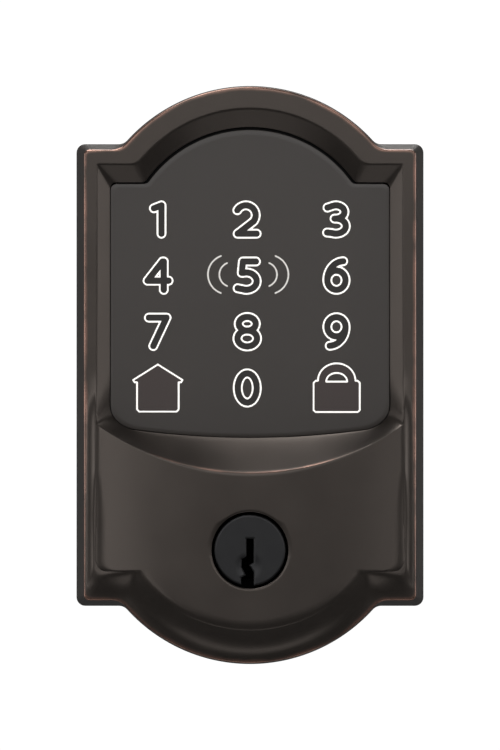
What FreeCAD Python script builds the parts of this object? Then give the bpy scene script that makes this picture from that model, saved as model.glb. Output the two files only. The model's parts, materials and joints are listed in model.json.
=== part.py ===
import FreeCAD, Part
import math
import os
import re
import Sketcher

# Keypad smart lock with a key cylinder: the outside keypad assembly and the inside
# battery and motor assembly, clamped on a door. Millimetres throughout.
# X runs across the door, Y into the door from outside, Z up. The origin is the key
# cylinder's axis where it crosses the door's outside face, so the outside assembly
# has negative Y, and the inside one starts at door_thick.

SIZES = {
    # the arched outline that both assemblies share
    "plate_wide": 76.2,
    "plate_tall": 127.0,
    "shoulder_tall": 101.4,
    "arch_radius": 36.4,
    "plate_up": 38.2,
    # escutcheon casting, heights measured out from the door face
    "gasket_thick": 1.0,
    "rim_height": 14.5,
    "flank_draft": 1.9,
    "back_wall": 2.4,
    "ledge_wall": 4.1,
    "skin": 2.2,
    "ledge_back": 7.0,
    "crown_height": 20.8,
    "crown_radius": 117.0,
    # pillow around the cylinder
    "pillow_half": 33.7,
    "pillow_edge": 15.7,
    "pillow_low": 43.2,
    "pillow_arch": 28.5,
    "pillow_top": 12.6,
    "pillow_blend": 2.0,
    "hollow_half": 28.0,
    "hollow_height": 15.4,
    "smile_radius": 58.7,
    "smile_low": 21.3,
    "scoop_wide": 7.2,
    # recess around the keypad window
    "recess_half": 33.4,
    "recess_shoulder": 46.05,
    "recess_arch": 31.1,
    "recess_floor": 0.9,
    # keypad window
    "lens_front": 12.0,
    "lens_thick": 2.0,
    "lens_half": 30.5,
    "lens_shoulder": 41.8,
    "lens_drop": 13.6,
    "lens_arch": 27.3,
    "lens_arch_up": 26.3,
    "lens_corner": 5.5,
    "lens_bow": 190.0,
    "lens_gap": 0.15,
    "seal_thick": 0.4,
    "seal_wide": 2.4,
    "window_inset": 3.6,
    # keypad stack behind the window
    "key_centre": -0.6,
    "key_across": 19.5,
    "key_up": 12.3,
    "key_first": 2.8,
    "guide_front": 9.8,
    "guide_back": 6.6,
    "guide_gap": 0.3,
    "guide_rim": 1.2,
    "board_half": 28.1,
    "board_low": 10.9,
    "board_high": 38.5,
    "board_front": 5.9,
    "board_thick": 1.2,
    "led_wide": 1.6,
    "led_deep": 0.6,
    "coil_inner": 12.0,
    "coil_outer": 14.0,
    "coil_thick": 0.3,
    "chip_half": 3.5,
    "chip_thick": 0.9,
    "chip_across": 16.0,
    "chip_down": 2.0,
    "plug_half": 6.0,
    "plug_tall": 4.0,
    "plug_deep": 2.1,
    "carrier_half": 33.2,
    "carrier_low": 13.0,
    "carrier_high": 39.6,
    "carrier_back": 2.7,
    "carrier_skin": 0.9,
    "carrier_step": 1.0,
    "slide_gap": 0.2,
    "carrier_screw_x": 30.8,
    "carrier_screw_low": 5.0,
    "carrier_screw_high": 34.0,
    "small_screw": 1.1,
    "small_head": 2.0,
    "small_head_deep": 1.2,
    "carrier_bite": 1.2,
    "thread_gap": 0.02,
    "sounder_radius": 6.5,
    "sounder_deep": 4.5,
    "sounder_x": 21.2,
    "sounder_z": 5.0,
    "sounder_port": 1.2,
    # back plate
    "plate_thick": 1.5,
    "plate_gap": 0.3,
    "boss_radius": 3.2,
    "boss_x": 29.5,
    "boss_z": 43.0,
    "plate_screw": 1.5,
    "plate_head": 2.6,
    "plate_head_deep": 1.1,
    "screw_long": 6.5,
    "gasket_inset": 0.6,
    "gasket_hole": 24.0,
    # key cylinder
    "eye_radius": 8.4,
    "nose_radius": 7.8,
    "nose_face": 20.4,
    "plug_radius": 6.35,
    "turn_gap": 0.05,
    "shell_radius": 9.5,
    "shell_gap": 0.2,
    "shell_front": 15.2,
    "shell_rear": 7.0,
    "tower_half": 5.5,
    "tower_top": 17.4,
    "flange_radius": 16.0,
    "flange_thick": 3.0,
    "flange_screw_x": 10.5,
    "flange_screw_z": 9.0,
    "pin_count": 5,
    "pin_first": 12.9,
    "pin_pitch": 3.96,
    "pin_radius": 1.4,
    "pin_top": 6.18,
    "driver_low": 6.42,
    "driver_tall": 4.8,
    "cap_thick": 0.8,
    "cap_half": 2.4,
    "spring_wire": 0.2,
    "slot_half": 0.76,
    "slot_top": 2.6,
    "slot_waist": 2.7,
    "jog_left": 2.0,
    "jog_top": 1.4,
    "jog_low": 4.3,
    "foot_top": 5.7,
    "neck_left": 1.2,
    "groove_radius": 5.2,
    "clip_radius": 8.6,
    "clip_thick": 0.8,
    "clip_gap": 0.1,
    "drive_square": 5.0,
    "cam_radius": 7.5,
    "cam_thick": 1.9,
    "plug_rear": 8.9,
    "dog_inner": 3.4,
    "dog_outer": 7.2,
    "dog_long": 3.0,
    "dog_sweep": 35.0,
    "dog_rest": 225.0,
    "arm_outer": 7.0,
    "tail_hub": 3.0,
    "tail_start": 11.1,
    "blade_half": 3.3,
    "blade_thick": 2.0,
    "tail_reach": 12.5,
    "guard_wall": 1.0,
    "guard_grip": 3.0,
    "guard_end": 14.6,
    "guard_hole": 3.7,
    # posts, bolts and the way for the cable
    "door_thick": 44.5,
    "bolt_x": 18.0,
    "post_radius": 4.0,
    "post_end": 13.6,
    "post_spigot": 3.0,
    "post_rivet": 0.8,
    "bolt_radius": 2.45,
    "bolt_bore": 2.5,
    "bolt_tip": 6.0,
    "bolt_head": 4.5,
    "bolt_head_deep": 2.4,
    "cable_x": 10.0,
    "cable_z": 17.6,
    "cable_radius": 2.0,
    "grommet_neck": 3.0,
    "grommet_lip": 3.7,
    "lip_thick": 0.7,
    # inside assembly
    "mount_thick": 1.5,
    "mount_inset": 6.0,
    "tail_way": 9.0,
    "case_inset": 3.0,
    "case_deep": 33.5,
    "case_wall": 2.2,
    "base_thick": 2.0,
    "case_split": 24.0,
    "split_gap": 0.3,
    "head_room": 1.0,
    "fix_x": 27.5,
    "fix_low": -4.0,
    "fix_high": 74.8,
    "fix_head": 2.6,
    "fix_head_deep": 1.8,
    "gear_module": 0.5,
    "gear_teeth": 40,
    "pinion_teeth": 12,
    "gear_play": 0.1,
    "gear_gap": 0.3,
    "gear_face": 2.8,
    "gear_hub": 5.0,
    "blade_gap": 0.08,
    "motor_half": 6.0,
    "motor_tall": 10.0,
    "motor_front": 7.4,
    "motor_long": 23.4,
    "gearbox_long": 9.0,
    "motor_shaft": 1.5,
    "shaft_reach": 3.5,
    "strap_thick": 1.2,
    "strap_gap": 0.1,
    "strap_long": 9.0,
    "strap_low": 11.4,
    "strap_foot": 5.0,
    "turn_shaft": 5.5,
    "slot_room": 1.5,
    "turn_gap_out": 0.4,
    "turn_disc": 15.0,
    "turn_disc_thick": 2.6,
    "paddle_half": 4.6,
    "paddle_reach": 15.0,
    "paddle_deep": 14.0,
    "ring_radius": 7.6,
    "ring_depth": 0.8,
    "rail_x": 28.6,
    "rail_thick": 1.8,
    "rail_lip": 4.1,
    "rail_low": 34.0,
    "rail_high": 72.0,
    "hook_gap": 0.3,
    "hook_thick": 1.5,
    "main_half": 26.4,
    "main_low": 28.0,
    "main_high": 83.0,
    "tab_half": 12.0,
    "tab_high": 93.5,
    "main_lift": 2.0,
    "main_thick": 1.6,
    "standoff": 2.6,
    "main_screw_x": 24.0,
    "main_screw_in": 3.0,
    "main_chip_x": 12.0,
    "cell_radius": 7.25,
    "cell_long": 50.5,
    "cell_pitch": 14.7,
    "nub_radius": 2.75,
    "nub_long": 1.0,
    "cell_gap": 0.55,
    "tray_lift": 8.0,
    "tray_deep": 12.0,
    "tray_wall": 1.2,
    "tray_half": 31.0,
    "tray_low": 27.1,
    "spring_room": 2.6,
    "strip_thick": 0.4,
    "strip_half": 5.5,
    "tray_leg": 1.7,
    "tray_leg_x": 28.6,
    "button_z": 89.0,
    "button_radius": 1.75,
    "button_cap": 2.6,
    "button_cap_thick": 1.0,
    "button_travel": 0.4,
    "switch_half": 3.0,
    "switch_tall": 3.0,
}

# Which cuts the key has, one depth for each pin, shallow to deep
BITTING = (2, 5, 3, 6, 4)
BITTING_STEP = 0.38
SHORTEST_PIN = 4.2

doc = FreeCAD.newDocument("keypad_lock")
sheet = doc.addObject("Spreadsheet::Sheet", "Sizes")
for row, (name, size) in enumerate(SIZES.items(), start=1):
    sheet.set(f"A{row}", name)
    sheet.set(f"B{row}", str(size))
    sheet.setAlias(f"B{row}", name)
doc.recompute()

nodes = {}
vector = FreeCAD.Vector
WORD = re.compile(r"[a-z][a-z_]*")
ALONG_Y = FreeCAD.Rotation(vector(1, 0, 0), -90)


def bound(text):
    """Point every size name in a formula at its cell in the sheet."""
    return WORD.sub(lambda word: f"Sizes.{word.group()}" if word.group() in SIZES else word.group(), text)


def number(text):
    """Work a formula out now, for shapes that have no property to bind."""
    return float(sheet.evalExpression(bound(text)))


def bind(thing, **formulas):
    for name, text in formulas.items():
        thing.setExpression(name, bound(text))
    return thing


def place(thing, x="0", y="0", z="0"):
    for axis, text in zip("xyz", (x, y, z)):
        thing.setExpression(f"Placement.Base.{axis}", bound(text))
    return thing


def span(half, centre="0"):
    return (f"({centre}) - ({half})", f"({centre}) + ({half})")


def box(x, y, z):
    """Block between two formulas on each axis."""
    thing = doc.addObject("Part::Box", "box")
    bind(thing, Length=f"({x[1]}) - ({x[0]})", Width=f"({y[1]}) - ({y[0]})", Height=f"({z[1]}) - ({z[0]})")
    return place(thing, x[0], y[0], z[0])


def rod(radius, y, x="0", z="0"):
    """Cylinder along Y."""
    thing = doc.addObject("Part::Cylinder", "rod")
    bind(thing, Radius=radius, Height=f"({y[1]}) - ({y[0]})")
    thing.Placement = FreeCAD.Placement(vector(), ALONG_Y)
    return place(thing, x, y[0], z)


def post(radius, z, x="0", y="0"):
    """Cylinder along Z."""
    thing = doc.addObject("Part::Cylinder", "post")
    bind(thing, Radius=radius, Height=f"({z[1]}) - ({z[0]})")
    return place(thing, x, y, z[0])


def cone(radii, y, x="0", z="0"):
    """Cone along Y, with the first radius at the first height."""
    thing = doc.addObject("Part::Cone", "cone")
    bind(thing, Radius1=radii[0], Radius2=radii[1], Height=f"({y[1]}) - ({y[0]})")
    thing.Placement = FreeCAD.Placement(vector(), ALONG_Y)
    return place(thing, x, y[0], z)


def taper(y, near, far):
    """Block whose sides slope evenly from one (x, z) rectangle to another."""
    thing = doc.addObject("Part::Wedge", "taper")
    bind(thing, Ymin=y[0], Ymax=y[1])
    bind(thing, Xmin=near[0][0], Xmax=near[0][1], Zmin=near[1][0], Zmax=near[1][1])
    bind(thing, X2min=far[0][0], X2max=far[0][1], Z2min=far[1][0], Z2max=far[1][1])
    return thing


def hexagon(radius, y, x="0", z="0"):
    thing = doc.addObject("Part::Prism", "hexagon")
    thing.Polygon = 6
    bind(thing, Circumradius=radius, Height=f"({y[1]}) - ({y[0]})")
    thing.Placement = FreeCAD.Placement(vector(), ALONG_Y)
    return place(thing, x, y[0], z)


def join(*things):
    thing = doc.addObject("Part::MultiFuse", "join")
    thing.Shapes = list(things)
    return thing


def common(*things):
    thing = doc.addObject("Part::MultiCommon", "common")
    thing.Shapes = list(things)
    return thing


def cut(base, *tools):
    thing = doc.addObject("Part::Cut", "cut")
    thing.Base = base
    thing.Tool = tools[0] if len(tools) == 1 else join(*tools)
    return thing


def group(*things):
    thing = doc.addObject("Part::Compound", "group")
    thing.Links = list(things)
    return thing


def node(label, thing):
    """Name a finished sub-part, which is also its file's name."""
    thing.Label = label
    nodes[label] = thing
    return thing


def sketch(body, role, points):
    """Closed outline on one of the body's origin planes, each corner held by two formulas."""
    drawing = body.newObject("Sketcher::SketchObject", "outline")
    plane = next(feature for feature in body.Origin.OriginFeatures if feature.Role == role)
    drawing.AttachmentSupport = [(plane, "")]
    drawing.MapMode = "FlatFace"
    corners = [vector(number(across), number(along), 0) for across, along in points]
    count = len(corners)
    for index in range(count):
        drawing.addGeometry(Part.LineSegment(corners[index], corners[(index + 1) % count]), False)
    for index in range(count):
        drawing.addConstraint(Sketcher.Constraint("Coincident", index, 2, (index + 1) % count, 1))
    for index, formulas in enumerate(points):
        for kind, start, text in zip(("DistanceX", "DistanceY"), corners[index], formulas):
            spot = drawing.addConstraint(Sketcher.Constraint(kind, -1, 1, index, 1, start))
            drawing.setExpression(f"Constraints[{spot}]", bound(text))
    return drawing


def turned(label, profile, x="0", z="0"):
    """Body of revolution about a line along Y, from (radius, y) corners."""
    body = doc.addObject("PartDesign::Body", label)
    outline = sketch(body, "XY_Plane", profile)
    turn = body.newObject("PartDesign::Revolution", "turn")
    turn.Profile = outline
    turn.ReferenceAxis = (outline, ["V_Axis"])
    turn.Angle = 360
    place(body, x, "0", z)
    return body


def signs():
    return ("", "-")


# Where the pieces stand along Y, from outside to inside

PLATE_FRONT = "-(gasket_thick + plate_thick)"
PLATE_BACK = "-gasket_thick"
TAIL_END = "(door_thick + tail_reach)"
DOOR_INSIDE = "door_thick"
BASE_BACK = "(door_thick + mount_thick)"
BASE_FRONT = "(door_thick + mount_thick + base_thick)"
GEAR_SPAN = (f"{BASE_FRONT} + gear_gap", f"{BASE_FRONT} + gear_gap + gear_face")
HUB_END = f"{GEAR_SPAN[1]} + skin / 2"
TURN_START = f"{HUB_END} + gear_gap"
TRAY_BACK = f"({BASE_FRONT} + tray_lift)"
CELL_MID = f"({TRAY_BACK} + tray_wall + cell_gap + cell_radius)"
CASE_FRONT = "(door_thick + case_deep)"


# The arched outline

ARCH_OFFSET = "(plate_tall / 2 - arch_radius)"


def arched(inset, y):
    """The lock's outline moved inwards, with straight sides."""
    radius = f"arch_radius - ({inset})"
    block = box(span(f"plate_wide / 2 - ({inset})"), y, span(f"shoulder_tall / 2 - ({inset})", "plate_up"))
    return join(
        block,
        rod(radius, y, z=f"plate_up + {ARCH_OFFSET}"),
        rod(radius, y, z=f"plate_up - {ARCH_OFFSET}"),
    )


def arched_taper(insets, y):
    """The lock's outline with sides that slope from one inset to the other."""
    ends = [
        (span(f"plate_wide / 2 - ({inset})"), span(f"shoulder_tall / 2 - ({inset})", "plate_up"))
        for inset in insets
    ]
    radii = [f"arch_radius - ({inset})" for inset in insets]
    return join(
        taper(y, ends[0], ends[1]),
        cone(radii, y, z=f"plate_up + {ARCH_OFFSET}"),
        cone(radii, y, z=f"plate_up - {ARCH_OFFSET}"),
    )


def lens_shape(grow, y):
    """The keypad window's outline, grown by a gap or shrunk by an inset, with its foot cut to a bow."""
    half = f"(lens_half + ({grow}))"
    low = f"(plate_up - lens_drop - ({grow}))"
    shoulder = f"(plate_up + lens_shoulder + ({grow}))"
    corner = f"(lens_corner + ({grow}))"
    outline = join(
        box(span(half), y, (f"{low} + {corner}", shoulder)),
        box(span(f"{half} - {corner}"), y, (f"{low} - 1", shoulder)),
        rod(corner, y, f"{half} - {corner}", f"{low} + {corner}"),
        rod(corner, y, f"{corner} - {half}", f"{low} + {corner}"),
        rod(f"lens_arch + ({grow})", y, z="plate_up + lens_arch_up"),
    )
    return common(outline, rod(f"lens_bow + ({grow})", y, z="plate_up - lens_drop + lens_bow"))


# Outside casting

BOSSES = [(f"{side}boss_x", f"plate_up {way} boss_z") for side in signs() for way in "+-"]


def pillow():
    """Raised cushion round the cylinder, crowned about an upright axis."""
    edge = ("-pillow_edge", "-rim_height")
    centre = f"plate_up - {ARCH_OFFSET}"
    foot = taper(
        edge,
        (span("pillow_half"), ("plate_up - pillow_low", "plate_up - pillow_top")),
        (
            span("plate_wide / 2 - flank_draft"),
            ("plate_up - shoulder_tall / 2 + flank_draft", "plate_up - pillow_blend"),
        ),
    )
    foot_arch = cone(("pillow_arch", "arch_radius - flank_draft"), edge, z=centre)
    top = ("-crown_height", "-pillow_edge")
    crown = join(
        box(span("pillow_half"), top, ("plate_up - pillow_low", "plate_up - pillow_top")),
        rod("pillow_arch", top, z=centre),
    )
    roll = post("crown_radius", ("plate_up - plate_tall", "plate_up"), y="crown_radius - crown_height")
    return join(foot, foot_arch, common(crown, roll))


def window_recess():
    """Sloping recess down to the keypad window, with the scoop above the pillow."""
    y = ("-rim_height", "-lens_front")
    low = "plate_up - lens_drop"
    slope = taper(
        y,
        (span("recess_half"), (low, "plate_up + recess_shoulder")),
        (span("lens_half + recess_floor"), (low, "plate_up + lens_shoulder + recess_floor")),
    )
    arch = cone(
        ("recess_arch", "lens_arch + recess_floor - 1"), y, z=f"plate_up + {ARCH_OFFSET}"
    )
    above = box(
        span("recess_half"), ("-crown_height - 1", "-rim_height"), (low, "plate_up + recess_shoulder")
    )
    scoop = cone(
        ("smile_radius", "smile_radius - scoop_wide"),
        ("-crown_height", "-lens_front"),
        z="plate_up - smile_low + smile_radius",
    )
    field = box(
        span("recess_half"), ("-crown_height", "-lens_front"), ("plate_up - smile_low - 1", "plate_up")
    )
    return join(slope, arch, above, common(scoop, field))


def casting_hollow():
    """Everything removed from behind: the main cavity, the pillow's and the cylinder's."""
    main = arched_taper(("ledge_wall", "back_wall"), ("-ledge_back", "0"))
    ceiling = ("-hollow_height", "-ledge_back + 1")
    low_arch = rod("pillow_arch - skin", ceiling, z=f"plate_up - {ARCH_OFFSET}")
    low_block = box(span("hollow_half"), ceiling, ("plate_up - pillow_low + skin", "plate_up"))
    below_smile = box(
        span("plate_wide"), ceiling, ("plate_up - plate_tall", "plate_up - smile_low - skin")
    )
    tower = box(span("tower_half + shell_gap"), ceiling, ("0", "tower_top + shell_gap"))
    return join(main, common(join(low_arch, low_block), below_smile), tower)


def escutcheon():
    solid = join(arched_taper(("flank_draft", "0"), ("-rim_height", PLATE_BACK)), pillow())
    window = join(
        lens_shape("lens_gap", ("-(lens_front + 1)", "-(lens_front - lens_thick - seal_thick)")),
        lens_shape("-window_inset", ("-lens_front", "-ledge_back + 1")),
    )
    shell = cut(
        solid,
        window_recess(),
        casting_hollow(),
        window,
        rod("eye_radius", ("-crown_height - 1", "0")),
    )
    bosses = [rod("boss_radius", ("-ledge_back - skin / 2", PLATE_FRONT), x, z) for x, z in BOSSES]
    lower = [
        rod("boss_radius", ("-hollow_height", "-ledge_back"), x, z) for x, z in BOSSES if "-" in z
    ]
    bores = [
        rod("plate_screw + thread_gap", ("-(gasket_thick + screw_long)", "0"), x, z) for x, z in BOSSES
    ]
    carrier_bores = [
        rod("small_screw + thread_gap", ("-(ledge_back + carrier_bite)", "0"), x, z)
        for x, z in CARRIER_SCREWS
    ]
    return cut(join(shell, *bosses, *lower), *bores, *carrier_bores)


CARRIER_SCREWS = [
    (f"{side}carrier_screw_x", f"plate_up {place_up}")
    for side in signs()
    for place_up in ("- carrier_screw_low", "+ carrier_screw_high")
]

node("escutcheon", escutcheon())

# Keypad window and the stack behind it

LENS_BACK = "-(lens_front - lens_thick)"
node("keypad_lens", lens_shape("0", ("-lens_front", LENS_BACK)))
seal_span = (LENS_BACK, "-(lens_front - lens_thick - seal_thick)")
seal_hole = (f"{LENS_BACK} - 1", f"{seal_span[1]} + 1")
node("lens_seal", cut(lens_shape("-slide_gap", seal_span), lens_shape("-seal_wide", seal_hole)))

BOARD_ROWS = ("plate_up - board_low", "plate_up + board_high")
BOARD_BACK = "-(board_front - board_thick)"
INNER_ROWS = ("plate_up - board_low + guide_rim", "plate_up + board_high - guide_rim")


def light_guide():
    """Clear block that fills the window's opening, with a rim that the board sits on."""
    pad = common(
        lens_shape("-(window_inset + guide_gap)", ("-guide_front", "-ledge_back")),
        box(span("board_half"), ("-guide_front", "-ledge_back"), BOARD_ROWS),
    )
    sheet_part = box(span("board_half"), ("-ledge_back", "-guide_back"), BOARD_ROWS)
    rim_span = ("-guide_back", "-board_front")
    rim = cut(
        box(span("board_half"), rim_span, BOARD_ROWS),
        box(span("board_half - guide_rim"), rim_span, INNER_ROWS),
    )
    return join(pad, sheet_part, rim)


node("light_guide", light_guide())
node("keypad_board", box(span("board_half"), ("-board_front", BOARD_BACK), BOARD_ROWS))

KEYS = [
    (f"key_centre + ({column}) * key_across", f"plate_up - key_first + ({row}) * key_up")
    for row in range(4)
    for column in (-1, 0, 1)
]
led_span = ("-(board_front + led_deep)", "-board_front")
node(
    "key_leds",
    group(
        *[
            box(span("led_wide / 2", x), led_span, span("led_wide / 2", z))
            for x, z in KEYS
        ]
    ),
)
coil_span = (BOARD_BACK, f"{BOARD_BACK} + coil_thick")
fifth_key = KEYS[7]
node(
    "reader_coil",
    cut(rod("coil_outer", coil_span, *fifth_key), rod("coil_inner", coil_span, *fifth_key)),
)
node(
    "keypad_chips",
    group(
        *[
            box(
                span("chip_half", f"{side}chip_across"),
                (BOARD_BACK, f"{BOARD_BACK} + chip_thick"),
                span("chip_half", "plate_up - chip_down"),
            )
            for side in signs()
        ]
    ),
)
SOCKET_ROWS = (BOARD_ROWS[0], f"{BOARD_ROWS[0]} + plug_tall")
node(
    "keypad_connector",
    cut(
        box(span("plug_half"), (BOARD_BACK, f"{BOARD_BACK} + plug_deep"), SOCKET_ROWS),
        box(
            span("plug_half - carrier_skin"),
            (f"{BOARD_BACK} + carrier_skin / 2", f"{BOARD_BACK} + plug_deep - carrier_skin / 2"),
            (f"{BOARD_ROWS[0]} - 1", f"{BOARD_ROWS[0]} + plug_tall - carrier_skin"),
        ),
    ),
)


def keypad_carrier():
    """Tray behind the board, screwed to the casting's ledge."""
    outer = box(
        span("carrier_half"),
        ("-ledge_back", "-carrier_back"),
        ("plate_up - carrier_low", "plate_up + carrier_high"),
    )
    board_room = box(
        span("board_half + slide_gap"),
        ("-ledge_back - 1", BOARD_BACK),
        (f"{BOARD_ROWS[0]} - slide_gap", f"{BOARD_ROWS[1]} + slide_gap"),
    )
    back_room = box(
        span("board_half - carrier_step"),
        ("-ledge_back", "-(carrier_back + carrier_skin)"),
        ("plate_up - board_low + carrier_step", "plate_up + board_high - carrier_step"),
    )
    socket_way = box(
        span("plug_half + slide_gap"),
        ("-ledge_back", "0"),
        ("plate_up - carrier_low - 1", f"{SOCKET_ROWS[1]} + slide_gap"),
    )
    holes = [rod("small_screw + thread_gap", ("-ledge_back", "0"), x, z) for x, z in CARRIER_SCREWS]
    seats = [
        rod("small_head + slide_gap", ("-(carrier_back + small_head_deep)", "0"), x, z)
        for x, z in CARRIER_SCREWS
    ]
    return cut(outer, board_room, back_room, socket_way, *holes, *seats)


node("keypad_carrier", keypad_carrier())


def cap_screw(head, head_deep, shank, seat, tip, x, z, socket):
    """Round-headed screw along Y, its head on the seat and its tip on the other side."""
    away = f"({seat}) + {head_deep}" if number(f"({seat}) - ({tip})") > 0 else f"({seat}) - {head_deep}"
    ends = (seat, away) if number(f"({away}) - ({seat})") > 0 else (away, seat)
    stem = (tip, seat) if number(f"({seat}) - ({tip})") > 0 else (seat, tip)
    key_end = (f"({away}) - {socket} / 2", away) if away == ends[1] else (away, f"({away}) + {socket} / 2")
    body = join(rod(head, ends, x, z), rod(shank, stem, x, z))
    return cut(body, hexagon(f"{head} / 2", key_end, x, z))


node(
    "carrier_screws",
    group(
        *[
            cap_screw(
                "small_head",
                "small_head_deep",
                "small_screw",
                "-(carrier_back + small_head_deep)",
                "-(ledge_back + carrier_bite - slide_gap)",
                x,
                z,
                "small_head_deep",
            )
            for x, z in CARRIER_SCREWS
        ]
    ),
)
node(
    "sounder",
    turned(
        "sounder",
        [
            ("sounder_port", "-hollow_height"),
            ("sounder_radius", "-hollow_height"),
            ("sounder_radius", "sounder_deep - hollow_height"),
            ("0", "sounder_deep - hollow_height"),
            ("0", "sounder_deep / 2 - hollow_height"),
            ("sounder_port", "sounder_deep / 2 - hollow_height"),
        ],
        x="sounder_x",
        z="sounder_z",
    ),
)

# Back plate and gasket


def cylinder_way(grow, y):
    return join(
        rod(f"shell_radius + ({grow})", y),
        box(span(f"tower_half + ({grow})"), y, ("0", f"tower_top + ({grow})")),
    )


def back_plate():
    y = (PLATE_FRONT, PLATE_BACK)
    beyond = (f"{PLATE_FRONT} - 1", "0")
    sheet_metal = arched("back_wall + plate_gap + flank_draft / 4", y)
    holes = [rod("plate_screw + slide_gap", beyond, x, z) for x, z in BOSSES]
    sink_radii = ("plate_screw + slide_gap", "plate_head + slide_gap")
    sink_span = ("-(gasket_thick + plate_head_deep)", PLATE_BACK)
    sinks = [cone(sink_radii, sink_span, x, z) for x, z in BOSSES]
    post_holes = [rod("post_spigot + thread_gap", beyond, f"{side}bolt_x") for side in signs()]
    screw_holes = [
        rod("plate_screw + slide_gap", beyond, f"{side}flange_screw_x", "-flange_screw_z") for side in signs()
    ]
    cable = rod("grommet_neck + thread_gap", beyond, "cable_x", "cable_z")
    return cut(
        sheet_metal, cylinder_way("shell_gap", beyond), cable, *holes, *sinks, *post_holes, *screw_holes
    )


node("back_plate", back_plate())


def flat_screw(x, z):
    head = cone(("plate_screw", "plate_head"), ("-(gasket_thick + plate_head_deep)", PLATE_BACK), x, z)
    shank = rod("plate_screw", ("slide_gap - (gasket_thick + screw_long)", PLATE_BACK), x, z)
    socket = hexagon("plate_screw / 2", ("-(gasket_thick + plate_head_deep / 2)", PLATE_BACK), x, z)
    return cut(join(head, shank), socket)


node("back_plate_screws", group(*[flat_screw(x, z) for x, z in BOSSES]))
node(
    "door_gasket",
    cut(arched("gasket_inset", (PLATE_BACK, "0")), rod("gasket_hole", (PLATE_BACK, "0"))),
)

# Posts and the grommet, riveted and pushed into the back plate


def bolt_post(x):
    body = join(
        rod("post_radius", (PLATE_BACK, "post_end"), x),
        rod("post_spigot", (PLATE_FRONT, PLATE_BACK), x),
        rod("post_radius", (f"{PLATE_FRONT} - post_rivet", PLATE_FRONT), x),
    )
    return cut(body, rod("bolt_bore", ("0", "post_end"), x))


node("bolt_posts", group(*[bolt_post(f"{side}bolt_x") for side in signs()]))
node(
    "wire_grommet",
    turned(
        "wire_grommet",
        [
            ("cable_radius", f"{PLATE_FRONT} - lip_thick"),
            ("grommet_lip", f"{PLATE_FRONT} - lip_thick"),
            ("grommet_lip", PLATE_FRONT),
            ("grommet_neck", PLATE_FRONT),
            ("grommet_neck", PLATE_BACK),
            ("grommet_lip", PLATE_BACK),
            ("grommet_lip", f"{PLATE_BACK} + lip_thick"),
            ("cable_radius", f"{PLATE_BACK} + lip_thick"),
        ],
        x="cable_x",
        z="cable_z",
    ),
)

# Key cylinder: housing, plug, pins, springs, cam and tailpiece

PIN_ROWS = [f"-pin_first + {index} * pin_pitch" for index in range(SIZES["pin_count"])]


def cylinder_housing():
    y = ("-shell_front", "shell_rear")
    flange = rod("flange_radius", (f"{PLATE_FRONT} - flange_thick", PLATE_FRONT))
    beyond = ("-ledge_back", "0")
    flange = cut(flange, *[rod("post_radius + slide_gap", beyond, f"{side}bolt_x") for side in signs()])
    flange = cut(flange, rod("grommet_lip + slide_gap", beyond, "cable_x", "cable_z"))
    body = join(cylinder_way("0", y), flange)
    chambers = [
        post("pin_radius + turn_gap", ("0", "tower_top"), y=row) for row in PIN_ROWS
    ]
    cap_room = box(
        span("cap_half + turn_gap"),
        ("-shell_front + skin / 2", "shell_rear - skin / 2"),
        ("tower_top - cap_thick", "tower_top + 1"),
    )
    threads = [
        rod("plate_screw + thread_gap", beyond, f"{side}flange_screw_x", "-flange_screw_z")
        for side in signs()
    ]
    bore = rod("plug_radius + turn_gap", ("-shell_front - 1", "shell_rear + 1"))
    return cut(body, bore, cap_room, *chambers, *threads)


node("cylinder_housing", cylinder_housing())
node(
    "cylinder_screws",
    group(
        *[
            cap_screw(
                "plate_head",
                "plate_head_deep",
                "plate_screw",
                PLATE_BACK,
                f"{PLATE_FRONT} - flange_thick + slide_gap",
                f"{side}flange_screw_x",
                "-flange_screw_z",
                "plate_head_deep",
            )
            for side in signs()
        ]
    ),
)
CLIP_START = "shell_rear + clip_gap"
CLIP_END = f"{CLIP_START} + clip_thick"


def cylinder_plug():
    """Plug with its nose, clip groove and square drive, cut by the keyway and the pin holes."""
    turned_part = turned(
        "plug_blank",
        [
            ("0", "-nose_face"),
            ("nose_radius", "-nose_face"),
            ("nose_radius", "-(shell_front + slide_gap)"),
            ("plug_radius", "-(shell_front + slide_gap)"),
            ("plug_radius", f"{CLIP_START} - clip_gap / 2"),
            ("groove_radius", f"{CLIP_START} - clip_gap / 2"),
            ("groove_radius", f"{CLIP_END} + clip_gap / 2"),
            ("plug_radius", f"{CLIP_END} + clip_gap / 2"),
            ("plug_radius", "plug_rear"),
            ("0", "plug_rear"),
        ],
    )
    drive = box(span("drive_square / 2"), ("plug_rear", "plug_rear + cam_thick"), span("drive_square / 2"))
    y = ("-nose_face - 1", "shell_rear - skin")
    keyway = [
        box(span("slot_half"), y, ("-slot_waist", "slot_top")),
        box(("-jog_left", "slot_half"), y, ("-slot_waist", "-jog_top")),
        box(("-jog_left", "-slot_half"), y, ("-jog_low", "-slot_waist")),
        box(("-neck_left", "slot_half"), y, ("-foot_top", "-(jog_low + slot_waist) / 2")),
        box(("-jog_left", "slot_half"), y, ("-nose_radius", "-foot_top")),
    ]
    holes = [post("pin_radius + turn_gap", ("-jog_top", "nose_radius"), y=row) for row in PIN_ROWS]
    return cut(join(turned_part, drive), *keyway, *holes)


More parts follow.
